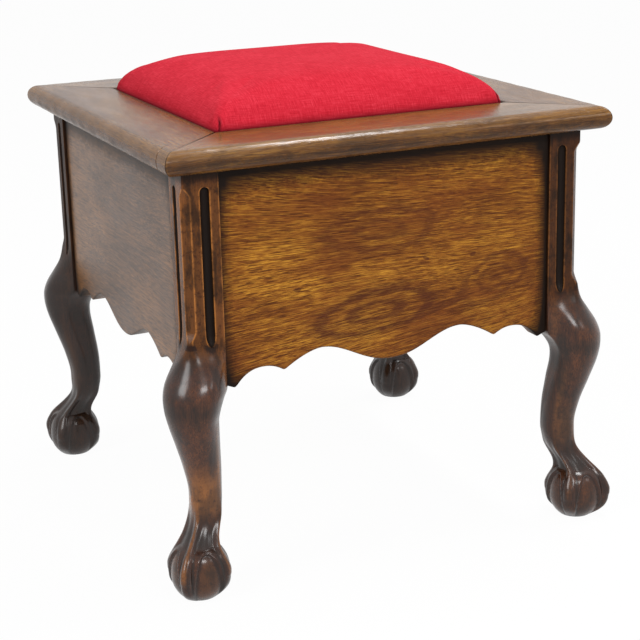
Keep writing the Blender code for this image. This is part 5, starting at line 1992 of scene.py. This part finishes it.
@dataclass
class ShoeRest:
    """Inside of the box: its floor on cleats, and the fixed rest for a shoe."""

    thickness: float = 36 * MM
    width: float = 80 * MM
    upright_edge: float = 1.5 * MM
    sole_top: float = 377.7 * MM
    sole_thickness: float = 14 * MM
    sole_length: float = 236 * MM
    toe_radius: float = 43 * MM
    heel_radius: float = 32 * MM
    heel_length: float = 54 * MM
    heel_thickness: float = 10 * MM
    sole_screw_spacing: float = 28 * MM
    arc_steps: int = 28
    edge: float = 2.5 * MM
    edge_steps: int = 5
    floor_screw_reach: float = 28 * MM
    floor_bottom: float = 237.3 * MM
    cleat_face: float = 165 * MM
    cleat_height: float = 229.5 * MM
    cleat_reach: float = 112.3 * MM

    def outline(self, toe: bool) -> np.ndarray:
        """Draw the outline of the sole, or of the heel block alone.

        Args:
            toe: True for the whole sole.

        Returns:
            Points in plan.
        """
        front = -(self.sole_length / 2 - self.toe_radius)
        back = self.sole_length / 2 - self.heel_radius
        start = self.sole_length / 2 - self.heel_length
        points = [(-self.heel_radius, start), (self.heel_radius, start)]
        if toe:
            points = [(self.toe_radius * cos(a), front + self.toe_radius * sin(a))
                      for a in np.linspace(-pi, 0, self.arc_steps)]
        points += [(self.heel_radius * cos(a), back + self.heel_radius * sin(a))
                   for a in np.linspace(0, pi, self.arc_steps)]
        return np.array(points)

    def plate(self, name: str, outline: np.ndarray, bottom: float, top: float) -> Piece:
        """Make a level plate with rounded edges.

        Args:
            name: the piece's name.
            outline: its outline in plan.
            bottom: height of its underside.
            top: height of its top.

        Returns:
            The object.
        """
        quarter = np.linspace(0, pi / 2, self.edge_steps)
        levels = [(bottom + self.edge * (1 - cos(a)), self.edge * (1 - sin(a))) for a in quarter]
        levels += [(top - self.edge * (1 - sin(a)), self.edge * (1 - cos(a))) for a in quarter]
        middle = outline.mean(axis=0)
        away = outline - middle
        length = np.linalg.norm(away, axis=1, keepdims=True)
        rings = [np.column_stack([middle + away * (1 - inset / length), np.full(len(outline), z)])
                 for z, inset in levels]
        return add_mesh(name, *loft(np.array(rings)))

    def floor_screws(self) -> Pairs:
        """Return places and directions of the screws up through the floor."""
        return [((0.0, sign * self.floor_screw_reach, self.floor_bottom), (0, 0, 1)) for sign in (-1, 1)]

    def cleat_screws(self) -> Pairs:
        """Return places and directions of the screws through the cleats.

        Returns:
            Two pairs for each side.
        """
        places = []
        for side in Side:
            way = tuple(side.place(np.array([0.0, -1.0, 0.0])))
            for sign in (-1, 1):
                place = side.place(np.array([sign * self.cleat_reach, -self.cleat_face, self.cleat_height]))
                places.append((tuple(place), way))
        return places

    def build(self, screw: ScrewSize) -> Pairs:
        """Build the rest and dress the floor and its cleats.

        Args:
            screw: size of the screws through the sole.

        Returns:
            Places and directions of the screws through the sole.
        """
        across, upright_wood = DEAL[Grain.ALONG_Y].material(), DEAL[Grain.ALONG_Z].material()
        along = DEAL[Grain.ALONG_X].material()
        underside = self.sole_top - self.sole_thickness
        low = (-self.thickness / 2, -self.width / 2, PLAN.box_floor + PLAN.fit)
        high = (self.thickness / 2, self.width / 2, underside - PLAN.fit)
        upright = box_piece("shoe_rest_upright", low, high, self.upright_edge)
        dress(upright, upright_wood, Body.CARCASS, "inside_wood", "rest_upright")
        sole = self.plate("shoe_rest_sole", self.outline(True), underside, self.sole_top)
        places = [((0.0, sign * self.sole_screw_spacing / 2, self.sole_top), (0, 0, -1)) for sign in (-1, 1)]
        for place, way in places:
            combine(sole, screw.hole(place, way))
        dress(sole, across, Body.CARCASS, "inside_wood", "rest_sole")
        bottom = self.sole_top + PLAN.fit
        heel = self.plate("shoe_rest_heel", self.outline(False), bottom, bottom + self.heel_thickness)
        dress(heel, across, Body.CARCASS, "inside_wood", "rest_heel")
        dress_node("bottom_board", along)
        for side in Side:
            dress_node(f"cleat_{side.label}", along if side.grain is Grain.ALONG_X else across)
        return places


@dataclass
class Hinges:
    """Two brass butt hinges let into the back panel and the lid's back rail."""

    middle: float = 115 * MM
    length: float = 60 * MM
    knuckles: int = 5
    knuckle_radius: float = 4 * MM
    knuckle_gap: float = 0.4 * MM
    knuckle_edge: float = 0.4 * MM
    leaf_width: float = 14 * MM
    leaf_thickness: float = 1.8 * MM
    leaf_edge: float = 0.25 * MM
    arm_overlap: float = 2 * MM
    arm_inset: float = 0.05 * MM
    pin_radius: float = 1.6 * MM
    pin_edge: float = 0.5 * MM
    pin_tip: float = 0.6
    pin_sides: int = 24
    bore_spare: float = 0.1 * MM
    screw_from_end: float = 13 * MM
    axis_y: float = 202.6 * MM
    axis_z: float = 392.85 * MM

    def beds(self, base: float) -> Pairs:
        """Place the beds of the leaves.

        Args:
            base: height of the surface that they are cut into.

        Returns:
            Lowest and highest corners.
        """
        half, depth = self.length / 2 + PLAN.fit, self.leaf_thickness + PLAN.fit
        back = PLAN.panel_out - self.leaf_width - PLAN.fit
        return [((x - half, back, base - depth), (x + half, self.axis_y, base + depth))
                for x in (-self.middle, self.middle)]

    def knuckle_beds(self) -> list[tuple[Point, float]]:
        """Return the start and length of the hollow round each hinge's knuckles."""
        half = self.length / 2 + PLAN.fit
        return [((x - half, self.axis_y, self.axis_z), 2 * half) for x in (-self.middle, self.middle)]

    def leaf(self, name: str, x: float, upper: bool, screw: ScrewSize) -> tuple[Piece, Pairs]:
        """Build one leaf with its knuckles.

        Args:
            name: the piece's name.
            x: middle of the hinge.
            upper: True for the leaf on the lid.
            screw: size of its screws.

        Returns:
            The leaf, and the places and directions of its screws.
        """
        half = self.length / 2
        low = PLAN.lid_bottom if upper else PLAN.rim - self.leaf_thickness
        high = low + self.leaf_thickness
        edge = self.axis_y - self.knuckle_radius - 2 * PLAN.fit
        back = PLAN.panel_out - self.leaf_width
        leaf = box_piece(name, (x - half, back, low), (x + half, edge, high), self.leaf_edge)
        pitch = self.length / self.knuckles
        wide, soft = pitch - self.knuckle_gap, self.knuckle_edge
        profile = [(0.0, self.knuckle_radius - soft), (soft, self.knuckle_radius),
                   (wide - soft, self.knuckle_radius), (wide, self.knuckle_radius - soft)]
        for number in range(1 if upper else 0, self.knuckles, 2):
            start = x - half + number * pitch + self.knuckle_gap / 2
            arm = box_piece("arm", (start, edge - self.arm_overlap, low + self.arm_inset),
                            (start + wide, self.axis_y, high - self.arm_inset))
            combine(leaf, arm, "UNION")
            combine(leaf, turned_piece("knuckle", profile, (start, self.axis_y, self.axis_z)), "UNION")
        radius = self.pin_radius + self.bore_spare
        begin = (x - self.length, self.axis_y, self.axis_z)
        bore = turned_piece("bore", [(0.0, radius), (2 * self.length, radius)], begin, sides=self.pin_sides)
        combine(leaf, bore)
        y = PLAN.panel_out - self.leaf_width / 2
        face, way = (PLAN.lid_bottom, (0, 0, 1)) if upper else (PLAN.rim, (0, 0, -1))
        places = [((x + sign * (half - self.screw_from_end), y, face), way) for sign in (-1, 1)]
        for place, direction in places:
            combine(leaf, screw.hole(place, direction))
        shade_mesh(leaf.data, 40)
        return leaf, places

    def build(self, screw: ScrewSize) -> tuple[Pairs, Pairs]:
        """Build both hinges.

        Args:
            screw: size of their screws.

        Returns:
            Places and directions of the screws in the panel, and of those in the lid.
        """
        brass = BRASS.material()
        lower_places, upper_places = [], []
        tip = self.pin_tip * self.pin_radius
        profile = [(0.0, tip), (self.pin_edge, self.pin_radius),
                   (self.length - self.pin_edge, self.pin_radius), (self.length, tip)]
        for label, x in (("left", -self.middle), ("right", self.middle)):
            lower, places = self.leaf(f"hinge_leaf_lower_{label}", x, False, screw)
            lower_places += places
            dress(lower, brass, Body.CARCASS, "brass", f"hinge_{label}_lower_leaf")
            upper, places = self.leaf(f"hinge_leaf_upper_{label}", x, True, screw)
            upper_places += places
            dress(upper, brass, Body.LID, "brass", f"hinge_{label}_upper_leaf")
            start = (x - self.length / 2, self.axis_y, self.axis_z)
            pin = turned_piece(f"hinge_pin_turned_{label}", profile, start, sides=self.pin_sides)
            dress(pin, brass, Body.CARCASS, "brass", f"hinge_{label}_pin")
        return lower_places, upper_places


@dataclass(frozen=True)
class Lamp:
    """Soft lamp: its place, its width and length, and its power in watts."""

    name: str
    place: Point
    size: tuple[float, float]
    power: float


@dataclass
class Studio:
    """Pale floor, soft lamps and the camera at the photograph's place."""

    eye: Point = (-0.65429, -1.49988, 0.67754)
    right: Point = (0.90991, -0.41410, -0.02412)
    up: Point = (0.14198, 0.25627, 0.95612)
    forward: Point = (0.38975, 0.87341, -0.29197)
    lens: float = 91.95
    sensor: float = 36.0
    farthest: float = 60.0
    ambient: float = 0.28
    paleness: float = 0.97
    floor_half: float = 8.0
    floor_level: float = -0.3 * MM
    floor_tints: tuple[float, float] = (0.90, 0.93)
    aim: Point = (0.0, 0.0, 0.3)
    lamps: tuple[Lamp, ...] = (
        Lamp("front_lamp", (0.02, -2.1, 1.55), (0.70, 0.50), 19.5),
        Lamp("left_lamp", (-1.85, -0.60, 1.45), (0.80, 0.80), 21.0),
        Lamp("overhead", (0.75, 0.05, 2.2), (1.0, 0.25), 27.0),
        Lamp("right_lamp", (1.6, -2.0, 1.5), (0.50, 0.50), 4.0),
    )

    def camera(self) -> None:
        """Set the camera."""
        data = bpy.data.cameras.new("camera")
        data.sensor_width = self.sensor
        data.lens = self.lens
        data.clip_end = self.farthest
        camera = link_new("camera", data)
        rows = zip(self.right, self.up, (-v for v in self.forward), self.eye)
        camera.matrix_world = Matrix([*(list(row) for row in rows), [0, 0, 0, 1]])
        bpy.context.scene.camera = camera

    def hang(self, lamp: Lamp) -> None:
        """Hang a lamp that points at the stool.

        Args:
            lamp: the lamp's values.
        """
        data = bpy.data.lights.new(lamp.name, "AREA")
        data.shape = "RECTANGLE"
        data.size, data.size_y = lamp.size
        data.energy = lamp.power
        made = link_new(lamp.name, data)
        made.location = lamp.place
        made.rotation_euler = (Vector(self.aim) - Vector(lamp.place)).to_track_quat("-Z", "Y").to_euler()

    def world(self) -> None:
        """Set a white surround that lights softly."""
        world = bpy.data.worlds.new("surround")
        world.use_nodes = True
        graph = Graph(world.node_tree)
        background = world.node_tree.nodes["Background"].inputs
        graph.feed(background["Color"], (1.0, 1.0, 1.0, 1.0))
        graph.feed(background["Strength"], graph.rise(graph.seen(), 0.0, 1.0, self.ambient, 1.0))
        bpy.context.scene.world = world

    def floor(self) -> None:
        """Lay the floor, which shows as white and takes the stool's shadow."""
        half, level = self.floor_half, self.floor_level
        corners = ((-half, -half), (half, -half), (half, half), (-half, half))
        points = np.array([(x, y, level) for x, y in corners])
        floor = add_mesh("floor", points, [[0, 1, 2, 3]])
        material, graph = new_finish("pale_floor")
        place = graph.node("TexCoord", {}, "Object")
        dark, light = ((tint,) * 3 for tint in self.floor_tints)
        tint = graph.ramp(graph.noise(place, Layer(2.0)), (0.0, dark), (1.0, light))
        graph.set(Base_Color=tint, Roughness=0.9, Specular_IOR_Level=0.1)
        white = graph.node("Emission", {"Color": (1.0, 1.0, 1.0, 1.0), "Strength": 1.0})
        share = graph.times(graph.seen(), self.paleness)
        both = graph.node("MixShader", {0: share, 1: graph.shader.outputs[0], 2: white})
        graph.feed(graph.tree.nodes["Material Output"].inputs["Surface"], both)
        floor.data.materials.append(material)

    def build(self) -> None:
        """Set up the view, the floor and the light."""
        self.camera()
        self.world()
        self.floor()
        for lamp in self.lamps:
            self.hang(lamp)
        bpy.context.scene.view_settings.view_transform = "Standard"


HINGE_SCREW = ScrewSize(2.6 * MM, 1.3 * MM, 12 * MM)
SEAT_SCREW = ScrewSize(3.6 * MM, 1.8 * MM, 13.5 * MM)
REST_SCREW = ScrewSize(3.8 * MM, 1.9 * MM, 32 * MM)
CLEAT_SCREW = ScrewSize(3.6 * MM, 1.8 * MM, 25 * MM)


def main() -> None:
    """Build the stool's pieces in order."""
    logging.basicConfig(level=logging.INFO, format="%(relativeCreated)d ms: %(message)s")
    Studio().build()
    Legs().build()
    hinges, rest = Hinges(), ShoeRest()
    Panels().build(hinges.beds(PLAN.rim))
    seat_places = LidFrame().build(hinges.beds(PLAN.lid_bottom), hinges.knuckle_beds(), SEAT_SCREW)
    lower_places, upper_places = hinges.build(HINGE_SCREW)
    sole_places = rest.build(REST_SCREW)
    Seat().build()
    pairs = [(label, number) for label in ("left", "right") for number in (1, 2)]
    Screws().build([
        ScrewSet("hinge_screws_lower", HINGE_SCREW, "brass", Body.CARCASS, lower_places,
                 tuple(f"hinge_{label}_lower_screw_{number}" for label, number in pairs)),
        ScrewSet("hinge_screws_upper", HINGE_SCREW, "brass", Body.LID, upper_places,
                 tuple(f"hinge_{label}_upper_screw_{number}" for label, number in pairs)),
        ScrewSet("seat_screws", SEAT_SCREW, "steel", Body.LID, seat_places,
                 tuple(f"seat_screw_{side.label}" for side in Side)),
        ScrewSet("rest_screws", REST_SCREW, "steel", Body.CARCASS, sole_places + rest.floor_screws(),
                 ("sole_screw_1", "sole_screw_2", "rest_screw_1", "rest_screw_2")),
        ScrewSet("cleat_screws", CLEAT_SCREW, "steel", Body.CARCASS, rest.cleat_screws(),
                 tuple(f"cleat_screw_{side.label}_{number}" for side in Side for number in (1, 2))),
    ])


if __name__ == "__main__":
    main()
